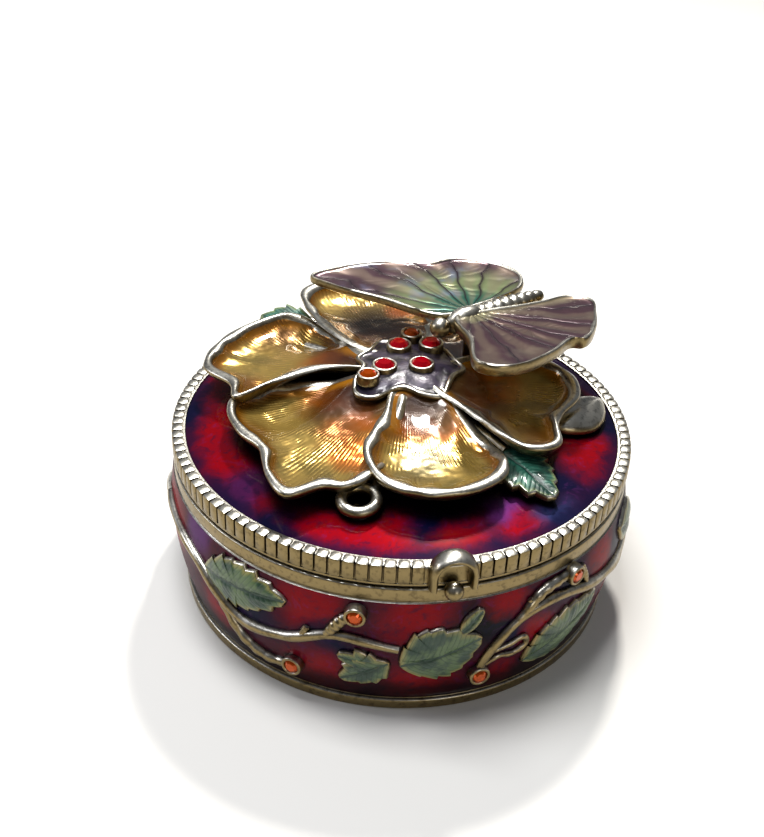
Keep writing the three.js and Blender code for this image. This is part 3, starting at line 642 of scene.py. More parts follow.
def dish(bm, edge, rings, place, uneven=0.0):
    """Rings hold (share, inset, height, finish), from the middle of the underside to the middle of the face.

    A ring is the outline moved in by inset mm and scaled by share. place(flat, height, depth) puts a point in
    space, where depth is how far in from the edge it lies. uneven lets the rim's width wander by that share.
    """
    numbers = bm.verts.layers.int.get("number") or bm.verts.layers.int.new("number")
    layers = bm.verts.layers.float
    flats = [layers.get(name) or layers.new(name) for name in ("flat_x", "flat_y", "inset")]
    middle = sum(edge, Vector((0, 0))) / len(edge)

    def settle(verts, share, inset, height):
        for vert in verts:
            spoke = edge[vert[numbers]] - middle
            angle = TURN * vert[numbers] / len(edge)
            wide = inset * (1 + uneven * math.sin(9 * angle + 2 * math.sin(4 * angle)))
            flat = middle + spoke * share * max(0.05, 1 - wide / spoke.length)
            depth = (edge[vert[numbers]] - flat).length
            for layer, value in zip(flats, (flat.x, flat.y, depth)):
                vert[layer] = value
            vert.co = place(flat, height, depth)

    verts = bmesh.ops.create_circle(bm, cap_ends=True, segments=len(edge), radius=1.0)["verts"]
    for number, vert in enumerate(verts):
        vert[numbers] = number
    edges = list({e for vert in verts for e in vert.link_edges})
    settle(verts, *rings[0][:3])
    for share, inset, height, finish in rings[1:]:
        verts, edges = extrude_ring(bm, edges, finish)
        settle(verts, share, inset, height)
    bmesh.ops.pointmerge(bm, verts=verts, merge_co=sum((v.co for v in verts), Vector()) / len(verts))


def bevelled(bm, edges, width, segments):
    bmesh.ops.bevel(
        bm, geom=edges, offset=width, offset_type="OFFSET", segments=segments, profile=0.5, affect="EDGES",
        material=-1)


def into_scene(name, data):
    made = bpy.data.objects.new(name, data)
    bpy.context.scene.collection.objects.link(made)
    return made


def finish_piece(bm, name, body, materials, slot, sharp=40):
    """Turns a bmesh in millimetres into a smooth shaded piece in metres that rides on a body."""
    bmesh.ops.recalc_face_normals(bm, faces=bm.faces)
    bmesh.ops.scale(bm, vec=(MM, MM, MM), verts=bm.verts)
    mesh = bpy.data.meshes.new(name)
    bm.to_mesh(mesh)
    bm.free()
    for material in materials:
        mesh.materials.append(material)
    mesh.shade_smooth()
    mesh.set_sharp_from_angle(angle=math.radians(sharp))
    piece = into_scene(name, mesh)
    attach(piece, body)
    triangles = sum(len(face.vertices) - 2 for face in mesh.polygons)
    print(f"{name}: {triangles} triangles on {body}")
    return piece


print("faces are numbered", METAL_FACE, "for bare metal and", ENAMEL_FACE, "for enamel")

# %% [markdown]
# ## The bowl
# The bowl is one casting: a flat foot ring, a bulging side with enamel, a bare lip, and a thin neck that
# the lid drops over. It is hollow, so the profile runs up the outside and back down the inside, and one
# spin closes it. Each face takes enamel or metal by where it lies.

# %% Bowl
HINGE_Y = 31.9
HINGE_Z = 20.45
KNUCKLE_RADIUS = 1.45
LID_KNUCKLE = 1.9
BOWL_KNUCKLES = ((2.3, 5.9), (-5.9, -2.3))
HINGE_BLOCK_Y = 29.2
HINGE_BEVEL = 0.2
BALL_RADIUS = 1.15
BALL_PLACE = (0, -30.85, 20.6)


def rod(bm, radius, length, place):
    """A closed cylinder about its middle. Gives its points."""
    return bmesh.ops.create_cone(
        bm, cap_ends=True, segments=32, radius1=radius, radius2=radius, depth=length, matrix=place)["verts"]


def hinge_barrel(bm, start, end):
    """A knuckle of the hinge: a bevelled barrel along X."""
    place = Matrix.Translation(((start + end) / 2, HINGE_Y, HINGE_Z)) @ Matrix.Rotation(TURN / 4, 4, "Y")
    made = rod(bm, KNUCKLE_RADIUS, end - start, place)
    edges = {edge for vert in made for edge in vert.link_edges}
    rims = [edge for edge in edges if abs(edge.verts[0].co.x - edge.verts[1].co.x) < 1e-4]
    bevelled(bm, rims, HINGE_BEVEL, 3)


def block(bm, low, high, bevel):
    """A bevelled block between two corners."""
    low, high = Vector(low), Vector(high)
    place = Matrix.Translation((low + high) / 2) @ Matrix.Diagonal((*(high - low), 1))
    verts = bmesh.ops.create_cube(bm, size=1.0, matrix=place)["verts"]
    bevelled(bm, list({e for v in verts for e in v.link_edges}), bevel, 2)


bowl = bmesh.new()
side = [(side_radius(height), height) for height in np.linspace(SIDE_BOTTOM, SIDE_TOP, 22)]
outside = softened([
    (0, 0), (FOOT_RADIUS, 0), (FOOT_RADIUS, FOOT_TOP), (ENAMEL_FOOT - 0.15, FOOT_TOP + 0.1), side[0]], 0.35)
inside = softened([
    side[-1], (LIP_RADIUS - 0.15, LIP_BOTTOM - 0.25), (LIP_RADIUS, LIP_BOTTOM), (LIP_RADIUS, SEAT),
    (NECK_OUTER, SEAT), (NECK_OUTER, NECK_TOP), (NECK_INNER, NECK_TOP), (NECK_INNER, SEAT - 1),
    (side_radius(15) - SIDE_WALL, 15), (side_radius(8) - SIDE_WALL, 8),
    (side_radius(3) - SIDE_WALL - 0.8, FLOOR), (0, FLOOR)], 0.25)
spin_profile(bowl, [*outside, *side[1:-1], *inside], ROUND)
for face in bowl.faces:
    middle = face.calc_center_median()
    away = math.hypot(middle.x, middle.y)
    if away > ENAMEL_FOOT - 0.2 and SIDE_BOTTOM - 0.1 < middle.z < SIDE_TOP:
        face.material_index = 1
    elif away < NECK_INNER + 0.05 and middle.z > 1:
        face.material_index = 2
    elif away < NECK_OUTER and FLOOR - 0.1 < middle.z < SEAT - 0.5:
        face.material_index = 2
for start, end in BOWL_KNUCKLES:
    hinge_barrel(bowl, start, end)
    block(bowl, (start, HINGE_BLOCK_Y, 19.1), (end, HINGE_Y, 20.2), HINGE_BEVEL)
ball = Matrix.Translation(BALL_PLACE)
bmesh.ops.create_uvsphere(bowl, u_segments=24, v_segments=16, radius=BALL_RADIUS, matrix=ball)
bowl = finish_piece(bowl, "bowl", "base", [ANTIQUE, SIDE_ENAMEL, LINING], "body_enamel")
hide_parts("body")

# %% [markdown]
# ## The vine round the side
# Raised stems wander round the bowl, with leaves and small set stones. On the real box they are cast with
# the wall. A stem is a bar swept along the curved side and sunk to half its height. The back repeats the
# front by half a turn.

# %% Stems
VINE_HALF_WIDTH = 0.75
TENDRIL_HALF_WIDTH = 0.42
SPUR_HALF_WIDTH = 0.5
STEMS = [
    [(-88, 15.2), (-65, 13.4), (-50, 9.4), (-37, 10.2), (-25, 12.8), (-11, 11.6)],
    [(-56, 10.3), (-50.5, 6.2), (-43.5, 4.4), (-36.3, 4.8)],
    [(-27, 12.6), (-24, 15), (-21.4, 16.4)],
    [(8.1, 6.6), (9.4, 9), (15, 13.2), (24, 15), (45, 12.4), (64, 10.4), (80, 13), (92, 15.2)],
    [(16, 13.6), (22, 16.6), (31, 17.4)],
]
TENDRIL = [(11, 9.6), (14.5, 10.0), (18.5, 10.6), (19.6, 9.4), (16.5, 8.2), (12.5, 8.4), (9.6, 7.4)]
SPURS = [[(21.5, 14.6), (18.8, 16.4)], [(37.2, 14.2), (35.2, 17.3)], [(-33, 10.8), (-31.5, 13.0)]]


def side_stem(bm, route, half, width):
    points = curve_through(route, 12 * len(route))
    path = [on_side(azimuth + half, height, 0.12) for azimuth, height in points]

    def size(t):
        swell = width * (0.72 + 0.28 * math.sin(math.pi * t)) * (1 + 0.08 * math.sin(37 * t))
        return swell, 0.95 * swell

    sweep(bm, path, size, lambda point: Vector((point.x, point.y, 0)).normalized())


vine = bmesh.new()
for half in HALF_TURNS:
    for route in STEMS:
        side_stem(vine, route, half, VINE_HALF_WIDTH)
    side_stem(vine, TENDRIL, half, TENDRIL_HALF_WIDTH)
    for spur in SPURS:
        side_stem(vine, spur, half, SPUR_HALF_WIDTH)
finish_piece(vine, "vine", "base", [ANTIQUE], "bare_metal", 50)

# %% [markdown]
# ## Leaves
# A leaf is a low dish turned over: its edge is cut into teeth, and its face swells from the edge up to both
# sides of a midrib groove. The outline comes from one formula, with the teeth as a saw wave on top.

# %% Side leaves
def leaf_outline(length, width, teeth, bite, count=120):
    """A toothed leaf outline along X, its root at the left and its middle at the origin."""
    edge = []
    for i in range(count):
        t = 2 * i / count
        side_sign, s = (-1, t) if t < 1 else (1, 2 - t)
        half = 0.5 * width * math.sin(math.pi * s ** 0.85) ** 0.8 if 0 < s < 1 else 0.0
        uneven = 0.75 + 0.4 * math.sin(4.7 * math.floor(s * teeth) + 2 * side_sign)
        saw = bite * uneven * ((s * teeth) % 1.0 - 0.4) * min(1.0, 4 * s) if 0.05 < s < 0.97 else 0.0
        edge.append(Vector(((s - 0.5) * length, side_sign * max(0.02, half + saw))))
    return edge


# Azimuth and height of the middle, length, width, turn in degrees, and how many teeth a side has.
SIDE_LEAVES = [
    (-49, 14.8, 13.5, 6.5, 8, 7), (-18.5, 7.2, 7.5, 4.8, 215, 4), (-1.5, 10.8, 10.5, 8.6, 22, 6),
    (31, 8.4, 13.5, 7.2, 25, 8), (64, 14.6, 10, 5.2, -15, 5), (-19.5, 9.2, 5.5, 3.4, 172, 3),
    (4.6, 15.2, 4.6, 2.0, 48, 1),
]


def crowned(height, edge_height, rise, depth, across):
    """A leaf's face: rises from the edge inwards, and dips along the midrib."""
    if height <= edge_height:
        return height
    swell = rise * (1 - math.exp(-depth / 1.1))
    return height + swell - 0.35 * math.exp(-(across / 0.4) ** 2) * min(1.0, depth)


def side_leaf(bm, azimuth, height, length, width, turn, teeth, half):
    def place(flat, level, depth):
        along, up = turned(flat.x, flat.y, math.radians(turn))
        spin = math.degrees(along / BULGE_RADIUS)
        return on_side(azimuth + half + spin, height + up, crowned(level, 0.3, 0.55, depth, flat.y))

    rings = marked(
        [(0.1, 0, -0.8), (1, 0.1, -0.8), (1, 0, 0.15), (1, 0.06, 0.3), (1, 0.2, 0.36)],
        [(share, 0.35, 0.33) for share in (1, 0.9, 0.78, 0.64, 0.5, 0.36, 0.22, 0.1)])
    dish(bm, leaf_outline(length, width, teeth, 0.8), rings, place)


leaves = bmesh.new()
for half in HALF_TURNS:
    for leaf in SIDE_LEAVES:
        side_leaf(leaves, *leaf, half)
finish_piece(leaves, "side_leaves", "base", [ANTIQUE, LEAF], "body_enamel", 50)

# %% [markdown]
# ## Set stones
# Each stone sits in a round bezel, a short cup whose edge is rolled in. A stone is a spun profile of ten
# sides: a point below, a girdle and a flat table. Turning the table by half a side splits the crown into
# slanting facets, and flat shading keeps them crisp.

# %% Bezels and stones
CUP_SUNK = 0.3
CUP_FLOOR = 0.7
STONE_SIDES = 10


def facing(point, direction):
    """The placing of a thing made standing on +Z, with its foot at a point and its axis along a direction."""
    turn = Vector((0, 0, 1)).rotation_difference(direction).to_matrix().to_4x4()
    return Matrix.Translation(point) @ turn


def cup(bm, radius, matrix):
    wall = softened([
        (0, 0), (radius + 0.42, 0), (radius + 0.38, 1.38), (radius, 1.42), (radius - 0.02, CUP_FLOOR - 0.05),
        (0, CUP_FLOOR - 0.1)], 0.18)
    part = bmesh.new()
    spin_profile(part, wall, 28)
    bmesh.ops.transform(part, matrix=matrix, verts=part.verts)
    mesh = bpy.data.meshes.new("cup")
    part.to_mesh(mesh)
    part.free()
    bm.from_mesh(mesh)
    bpy.data.meshes.remove(mesh)


def gem(name, radius, matrix, body, material, slot):
    bm = bmesh.new()
    spin_profile(bm, [
        (0, 0), (radius, 0.38 * radius), (radius, 0.46 * radius), (0.62 * radius, 0.82 * radius),
        (0, 0.82 * radius)], STONE_SIDES)
    table = [v for v in bm.verts if v.co.z > 0.8 * radius]
    bmesh.ops.rotate(bm, cent=(0, 0, 0), matrix=Matrix.Rotation(TURN / STONE_SIDES / 2, 3, "Z"), verts=table)
    bmesh.ops.triangulate(bm, faces=bm.faces)
    bmesh.ops.transform(bm, matrix=matrix, verts=bm.verts)
    stone = finish_piece(bm, "cut_" + name, body, [material], slot, 5)
    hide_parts(name)


SIDE_STONE_RADIUS = 0.95
SIDE_STONES = [(-20.6, 16.5), (-35.5, 5.4), (8.1, 6.0), (31.8, 17.1)]
cups = bmesh.new()
spots = [(azimuth + half, height) for half in HALF_TURNS for azimuth, height in SIDE_STONES]
for number, (azimuth, height) in enumerate(spots, 1):
    cup(cups, SIDE_STONE_RADIUS, facing(on_side(azimuth, height, -CUP_SUNK), outward(azimuth)))
    seat = facing(on_side(azimuth, height, CUP_FLOOR - CUP_SUNK + 0.02), outward(azimuth))
    gem(f"side_stone_{number}", SIDE_STONE_RADIUS, seat, "base", AMBER, "amber_stone")
finish_piece(cups, "side_bezels", "base", [ANTIQUE], "bare_metal", 50)

# %% [markdown]
# ## The lid
# The lid is a shallow dome of the same casting with a standing edge. The milled band round that edge is one
# small bevelled block, copied round the axis a hundred and more times; where the arch of the catch stands,
# the blocks are left out. The catch is an upturned U that snaps over a ball on the bowl.

# %% Lid
ARCH_HEIGHT = 22.6
ARCH_RADIUS = 2.35
ARCH_Y = -30.0
ARCH_GAP_DEGREES = 6.2
TOOTH_INNER = 28.55
TOOTH_HALF_WIDTH = 0.75
TOOTH_BEVEL = 0.34
CATCH_AZIMUTH = 270
lid = bmesh.new()
under = [(r, lid_top(r) - LID_WALL) for r in np.linspace(0, 27, 10)]
dome = [(r, lid_top(r)) for r in np.linspace(RIM_INNER - 0.2, 0, 26)]
edge = softened([
    under[-1], (LID_INNER, 21.7), (LID_INNER, LID_BOTTOM), (BEAD_RADIUS, LID_BOTTOM),
    (BEAD_RADIUS, TOOTH_BOTTOM), (TOOTH_ROOT, TOOTH_BOTTOM), (TOOTH_ROOT, RIM_TOP - 0.4),
    (RIM_OUTER, RIM_TOP - 0.2), (RIM_INNER, RIM_TOP - 0.2), (RIM_INNER, lid_top(RIM_INNER)), dome[0]], 0.2)
spin_profile(lid, [*under[:-1], *edge, *dome[1:]], ROUND)
for face in lid.faces:
    middle = face.calc_center_median()
    away = math.hypot(middle.x, middle.y)
    if away < RIM_INNER - 0.02 and middle.z > lid_top(away) - 0.1:
        face.material_index = 1
    elif away < LID_INNER:
        face.material_index = 2
low = (TOOTH_INNER, -TOOTH_HALF_WIDTH, TOOTH_BOTTOM)
high = (TOOTH_OUTER, TOOTH_HALF_WIDTH, RIM_TOP + 0.05)
for i in range(TOOTH_COUNT):
    azimuth = 360 * i / TOOTH_COUNT
    if abs(azimuth - CATCH_AZIMUTH) < ARCH_GAP_DEGREES:
        continue
    before = set(lid.verts)
    block(lid, low, high, TOOTH_BEVEL)
    fresh = [vert for vert in lid.verts if vert not in before]
    bmesh.ops.rotate(lid, cent=(0, 0, 0), matrix=Matrix.Rotation(math.radians(azimuth), 3, "Z"), verts=fresh)
hinge_barrel(lid, -LID_KNUCKLE, LID_KNUCKLE)
block(lid, (-LID_KNUCKLE, HINGE_BLOCK_Y, 20.75), (LID_KNUCKLE, HINGE_Y, 21.7), HINGE_BEVEL)
lid = finish_piece(lid, "lid_shell", "cover", [ANTIQUE, LID_ENAMEL, LINING], "lid_enamel")
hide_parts("lid")

catch = bmesh.new()
legs = [(-ARCH_RADIUS, 20.8), (-ARCH_RADIUS, 21.7)]
bow = [
    (-ARCH_RADIUS * math.cos(angle), ARCH_HEIGHT + ARCH_RADIUS * math.sin(angle))
    for angle in np.linspace(0, math.pi, 25)
]
path = [Vector((x, ARCH_Y, z)) for x, z in [*legs, *bow, *[(-x, z) for x, z in reversed(legs)]]]
sweep(catch, path, lambda t: (0.55, 1.3), lambda point: Vector((0, -1, 0)), 20)
finish_piece(catch, "catch_arch", "cover", [ANTIQUE], "bare_metal", 60)

# %% [markdown]
# ## Petals
# Six petals overlap round the middle. Each outline is a smooth curve through a few points, measured from
# the flower's middle along the petal and across it. The dish function rolls the rim and sinks the enamelled
# face, which is deepest in the middle, so light runs round it as in a spoon.

# %% Petals
# Direction in degrees, fall of the rim from root to tip, lift over the neighbours, tucked sides, and the
# outline's points.
PETALS = [
    (158, 1.2, 0.6, "right", [
        (4, 0.6), (11, 2.2), (16.2, 6.7), (20.2, 11.2), (21.6, 8), (26.3, 4.6), (26.4, -1.5), (23.6, -7.5),
        (18, -12.2), (13.4, -10.5), (8, -4)]),
    (221, 1.2, 0.0, "left right", [
        (4, 2), (12, 7), (19.5, 9.8), (23.4, 9), (24.8, 6.8), (28.8, 4.6), (27.6, 0.5), (24.4, -3.4),
        (23.4, -8), (21.2, -12), (17.5, -14), (12, -12.8), (4, -4)]),
    (267, 1.2, 0.35, "left", [
        (4, 3), (9.7, 6), (16.9, 8.7), (22, 8.4), (25, 4), (25.3, -1.5), (22.6, -6.2), (17, -7.6),
        (9.9, -4.3), (4, -2)]),
    (325, 1.2, 0.6, "", [
        (4, 3), (8.5, 9), (14, 11.4), (19.5, 9.6), (21.6, 5.6), (21, -1), (22.8, -6), (20, -8.8),
        (11.1, -5.5), (4, -2)]),
    (30, 1.2, 0.0, "left right", [
        (4, 2), (11, 8), (18, 8), (21, 4), (20, 0.3), (21, -3), (18, -8), (11, -8), (4, -2)]),
    (95, -1.0, 0.3, "right", [
        (4, 2.4), (8.9, 6.6), (16.8, 9.2), (22.5, 9), (24.6, 5), (23.4, 0.6), (24, -4), (19, -8.5), (11, -7),
        (4, -2.4)]),
]
PETAL_RINGS = marked([
    (0.06, 0, -2.5), (0.6, 0, -2.5), (0.9, 0.9, -2.0), (1, 0.35, -1.45), (1, 0.0, -1.05), (1, -0.3, -0.6),
    (1, -0.45, -0.25), (1, -0.36, 0.0), (1, -0.1, 0.15), (1, 0.25, 0.2), (1, 0.6, 0.12), (1, 0.88, -0.1),
    (1, 1.05, -0.4)
], [
    (1, 1.2, -0.65), (1, 1.5, -0.95), (0.96, 1.5, -1.15), (0.9, 1.5, -1.35), (0.8, 1.5, -1.6),
    (0.68, 1.5, -1.78), (0.55, 1.5, -1.9), (0.4, 1.5, -1.95), (0.25, 1.5, -1.96), (0.12, 1.5, -1.96),
    (0.04, 1.5, -1.96)
])
TUCK = 0.5
TUCK_MOST = 1.7
ROOT_RISE = 1.3
CLEAR_OF_LID = 0.3


def petal(bm, direction, fall, lift, tucked, points):
    """tucked tells which sides lie under a neighbour: there the root's edge bends down out of sight.

    The lowest ring keeps clear of the lid, and the rings above it of one another.
    """
    def place(flat, height, depth):
        x, y = from_flower(flat.x, flat.y, direction)
        hidden = (flat.y > 0 and "left" in tucked) or (flat.y < 0 and "right" in tucked)
        near_root = min(1.0, max(0.0, (20 - flat.x) / 5))
        tuck = min(TUCK_MOST, TUCK * max(0.0, abs(flat.y) - 4)) * near_root if hidden else 0.0
        rise = ROOT_RISE * max(0.0, 1 - flat.x / 19) * min(1.0, max(0.0, -height))
        lowest = lid_top(math.hypot(x, y)) + CLEAR_OF_LID + 0.5 * (height - PETAL_RINGS[0][2])
        level = PETAL_CREST + lift + height + rise - tuck - fall * flat.x / PETAL_REACH
        return Vector((x, y, max(lowest, level)))

    dish(bm, curve_through(points, 110, closed=True), PETAL_RINGS, place, 0.22)


for number, recipe in enumerate(PETALS, 1):
    bm = bmesh.new()
    petal(bm, *recipe)
    piece = finish_piece(bm, f"petal_{number}", "cover", [ANTIQUE, PETAL], "petal_enamel", 60)
    if number == 1:
        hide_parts("flower")

# %% [markdown]
# ## The flower's middle
# A ruffled collar rings the stones. Its rim waves in and out and droops where it reaches over the petals'
# roots, and slate blue enamel lies inside it. Below, a turned stalk carries the petals clear of the lid,
# which makes the deep shadow under them.

# %% Collar, stalk and stones
COLLAR_MIDDLE = FLOWER_MIDDLE + Vector((0, 1))
# The collar's edge as degrees round its middle and distance from it.
COLLAR_EDGE = [
    (-160, 8.2), (-145, 9.5), (-130, 9.0), (-106, 6.4), (-86, 7.6), (-68, 8.6), (-50, 7.4), (-32, 7.0),
    (-12, 8.0), (8, 6.8), (28, 6.9), (48, 5.8), (70, 6.7), (92, 5.8), (114, 6.8), (138, 6.0), (160, 6.9),
    (180, 6.1),
]


def ruffle(count=144):
    corners = [(r * math.cos(math.radians(a)), r * math.sin(math.radians(a))) for a, r in COLLAR_EDGE]
    return curve_through(corners, count, closed=True)


def collar_place(flat, height, depth):
    """Beyond the ring of stones the collar droops over the petals' roots."""
    droop = 0.22 * max(0.0, flat.length - 5.6) ** 1.2
    return Vector((COLLAR_MIDDLE.x + flat.x, COLLAR_MIDDLE.y + flat.y, height - droop))


collar = bmesh.new()
dish(collar, ruffle(), marked([
    (0.1, 0, 27.0), (1, 1.2, 27.4), (1, 0.6, 28.5), (1, 0.15, 29.0), (1, 0, 29.3), (1, 0.1, 29.55),
    (1, 0.32, 29.66), (1, 0.54, 29.58), (1, 0.7, 29.4)
], [
    (1, 0.85, 29.3), (0.86, 0.85, 29.4), (0.7, 0.85, 29.62), (0.5, 0.85, 29.8), (0.3, 0.85, 29.86),
    (0.08, 0.85, 29.88)
]), collar_place)
finish_piece(collar, "collar", "cover", [ANTIQUE, COLLAR], "petal_enamel", 60)

stalk = bmesh.new()
spin_profile(stalk, softened([
    (0, 25.8), (6.5, 25.8), (7.0, 26.6), (5.0, 27.3), (0, 27.3)], 0.4), 48)
bmesh.ops.translate(stalk, vec=(*FLOWER_MIDDLE, 0), verts=stalk.verts)
finish_piece(stalk, "stalk", "cover", [ANTIQUE], "bare_metal")

STONE_RADIUS = 1.3
SMALL_STONE = 0.85 * STONE_RADIUS
FLOWER_STONES = [
    (-2.1, 2.6, STONE_RADIUS, RUBY, "red_stone"), (0.8, 7.6, STONE_RADIUS, RUBY, "red_stone"),
    (2.8, 2.4, STONE_RADIUS, RUBY, "red_stone"), (5.2, 7.4, STONE_RADIUS, RUBY, "red_stone"),
    (3.1, 10.4, SMALL_STONE, AMBER, "amber_stone"), (-4.6, 0.6, SMALL_STONE, AMBER, "amber_stone"),
]
cups = bmesh.new()
for number, (x, y, radius, glass, slot) in enumerate(FLOWER_STONES, 1):
    foot = Vector((x, y, COLLAR_TOP - CUP_SUNK))
    cup(cups, radius, Matrix.Translation(foot))
    gem(f"flower_stone_{number}", radius, Matrix.Translation(foot + Vector((0, 0, CUP_FLOOR + 0.02))),
        "cover", glass, slot)
finish_piece(cups, "flower_bezels", "cover", [ANTIQUE], "bare_metal", 50)

# %% [markdown]
# ## Leaves, a bud and a curl over the lid
# From under the petals come stems, two toothed leaves, a bare metal bud and a curled tendril. They ride
# just above the dome, as cast pieces do that are joined only at the stalk.

# %% Lid leaves
# Root, tip, width, height above the dome in the middle, slope towards the tip, tilt across, and teeth along
# a side.
LID_LEAVES = [
    ((9.3, -11.2), (14.4, -21.4), 7.6, 1.1, 0.04, 0.0, 6),
    ((-8.5, 21.5), (-18.6, 22.4), 7.6, 2.0, 0.0, 0.45, 5),
]
LEAF_LOWEST = 0.7
BUD = ((18.6, -7.8), (27.5, -0.6), 6.6, 1.0, 0.0, 0.0, 1)


def lid_leaf(bm, root, tip, width, above, slope, tilt, teeth, bite, rise):
    root, tip = Vector(root), Vector(tip)
    along = (tip - root).normalized()
    middle = (root + tip) / 2

    def place(flat, level, depth):
        spot = middle + along * flat.x + along.orthogonal() * -flat.y
        base = max(LEAF_LOWEST, above + slope * flat.x + tilt * flat.y)
        return over_lid(spot.x, spot.y, base + crowned(level, 0.25, rise, depth, flat.y))

    rings = marked(
        [(0.1, 0, -0.4), (1, 0.1, -0.4), (1, 0, 0.05), (1, 0.08, 0.25), (1, 0.25, 0.32)],
        [(share, 0.4, 0.28) for share in (1, 0.9, 0.76, 0.6, 0.45, 0.3, 0.15)])
    dish(bm, leaf_outline((tip - root).length, width, teeth, bite), rings, place)


lid_leaves = bmesh.new()
for leaf in LID_LEAVES:
    lid_leaf(lid_leaves, *leaf, 1.0, 0.4)
finish_piece(lid_leaves, "lid_leaves", "cover", [ANTIQUE, TEAL], "petal_enamel", 50)

SPRIG_STEMS = (
    [(-1, -2), (-4, -9), (-6.9, -18)], [(4, -1), (7, -6), (10.5, -12.5)],
    [(7, 2), (12, -3), (18.5, -5.9)], [(-3, 8), (-6, 12), (-10.5, 16.5)],
)
CURL_MIDDLE = Vector((-9, -19))
CURL_RADIUS = 2.1
CURL_START = 1.9


def sprig(route, above, half_width, sides):
    path = [over_lid(point.x, point.y, above) for point in route]
    sweep(sprigs, path, lambda t: (half_width, half_width), lambda point: Vector((0, 0, 1)), sides)


sprigs = bmesh.new()
lid_leaf(sprigs, *BUD, 0.0, 1.3)
for route in SPRIG_STEMS:
    sprig(curve_through(route, 30), 1.1, 0.7, 12)
curl = [
    CURL_MIDDLE + CURL_RADIUS * Vector((math.cos(a), math.sin(a)))
    for a in np.linspace(CURL_START, CURL_START + TURN, 48)
]
sprig(curl, 1.15, 0.72, 14)
finish_piece(sprigs, "sprigs", "cover", [ANTIQUE, ANTIQUE], "bare_metal", 50)

# %% [markdown]
# ## The butterfly
# The butterfly stands on a post over the flower. Each pair of wings is one thin casting with a rolled
# silver rim; its enamelled face is fluted by veins that fan out from the thorax. The two pairs differ a
# little, as on a hand finished model.

# %% Wings
WING_CENTRE = Vector((10.2, 7.4, 33.5))
HEADING = math.radians(202)
WING_ROOT = 1.2
# The wings' edges as ahead of the thorax and aside from it.
LEFT_WINGS = [
    (3, 0.6), (5.8, 7.5), (9.2, 13.6), (7.8, 16.2), (4, 17), (-1.9, 15.6), (-6.3, 13.8), (-7.6, 14.6),
    (-11.7, 12), (-15.1, 8.3), (-17.8, 4.4), (-16.6, 1.9), (-9.7, 1.6), (-1.5, 0.6),
]
RIGHT_WINGS = [
    (4, 0.6), (8.7, 8.6), (12.3, 14.5), (13.7, 19), (9, 19.6), (3.8, 18.6), (-0.5, 16.4), (-3.8, 14.5),
    (-7.9, 13.6), (-11.2, 10.5), (-12.9, 6.5), (-11.5, 3), (-9, 1.6), (-1.5, 0.6),
]
WING_RINGS = marked([
    (0.05, 0, -0.35), (0.7, 0, -0.45), (1, 0.3, -0.7), (1, 0.06, -0.58), (1, 0, -0.1), (1, 0.06, 0.25),
    (1, 0.22, 0.42), (1, 0.45, 0.4), (1, 0.62, 0.26)
], [
    (1, 0.8, 0.17),
    *[(share, 0.8, 0.14) for share in (0.95, 0.88, 0.8, 0.7, 0.6, 0.5, 0.4, 0.3, 0.2, 0.1, 0.04)],
])


def on_butterfly(ahead, aside, above):
    return WING_CENTRE + Vector((*turned(ahead, aside, HEADING), above))


def wings(name, side_sign, edge, thick, slope, pitch, enamel):
    """thick stretches the underside, slope lifts the wings' tip, and pitch, in degrees, their front edge."""
    climb = math.tan(math.radians(pitch))

    def place(flat, height, depth):
        fan = abs(math.sin(WING_VEINS / 2 * math.atan2(flat.y, flat.x))) ** 0.6
        flute = 0.3 * (1 - fan) * min(1.0, max(0.0, depth - 0.8) / 2.5)
        level = height * thick if height < 0 else height - flute
        return on_butterfly(flat.x, side_sign * flat.y, WING_ROOT + level + flat.x * climb + flat.y * slope)

    bm = bmesh.new()
    dish(bm, curve_through(edge, 170, closed=True), WING_RINGS, place, 0.2)
    return finish_piece(bm, name, "cover", [ANTIQUE, enamel], "wing_enamel", 60)


near_wings = wings("near_wings", 1, LEFT_WINGS, 1.8, 0.1, 4, WING_NEAR)
wings("far_wings", -1, RIGHT_WINGS, 1.0, 0.0, 0, WING_FAR)
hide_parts("butterfly")

# %% [markdown]
# The body between the wings is bare metal: a ringed abdomen, an egg shaped thorax and a round head. The
# abdomen is a spun profile of small bulges; the others are spheres, stretched and moved into line.

# %% Butterfly's body
RINGS = 8
POST_FOOT = 27.65
POST_RADIUS = 1.3
BODY_TILT = math.tan(math.radians(-2))
LENGTHWISE = Vector((math.cos(HEADING), math.sin(HEADING), BODY_TILT))


def on_body(ahead):
    return on_butterfly(ahead, 0, 0.3 + ahead * BODY_TILT)


body = bmesh.new()
profile = [(0, 0)]
for i in range(12 * RINGS + 1):
    t = i / (12 * RINGS)
    girth = 0.55 + 0.95 * math.sin(math.pi * (0.08 + 0.6 * t))
    profile.append((girth * (1 - 0.14 * abs(math.cos(math.pi * RINGS * t)) ** 3), 0.2 + 11 * t))
profile.append((0, 11.3))
spin_profile(body, profile, 28)
bmesh.ops.transform(body, matrix=facing(on_body(-12.4), LENGTHWISE), verts=body.verts)
for centre, shape in ((0.8, (1.9, 1.7, 3.2)), (4.8, (1.35, 1.35, 1.35))):
    matrix = facing(on_body(centre), LENGTHWISE) @ Matrix.Diagonal((*shape, 1))
    bmesh.ops.create_uvsphere(body, u_segments=32, v_segments=20, radius=1.0, matrix=matrix)
post_height = WING_CENTRE.z - POST_FOOT
rod(body, POST_RADIUS, post_height, Matrix.Translation(on_butterfly(-1, 0, -post_height / 2)))
finish_piece(body, "butterfly_body", "cover", [ANTIQUE], "bare_metal", 50)

# %% [markdown]
# ## The hinge pin
# The pin is right as it is in the frame, so it stays and only takes the metal's finish.

# %% Hinge pin
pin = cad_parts["hinge_pin"]
pin.data.materials.clear()
pin.data.materials.append(ANTIQUE)
print("hinge pin finished in", ANTIQUE.name)

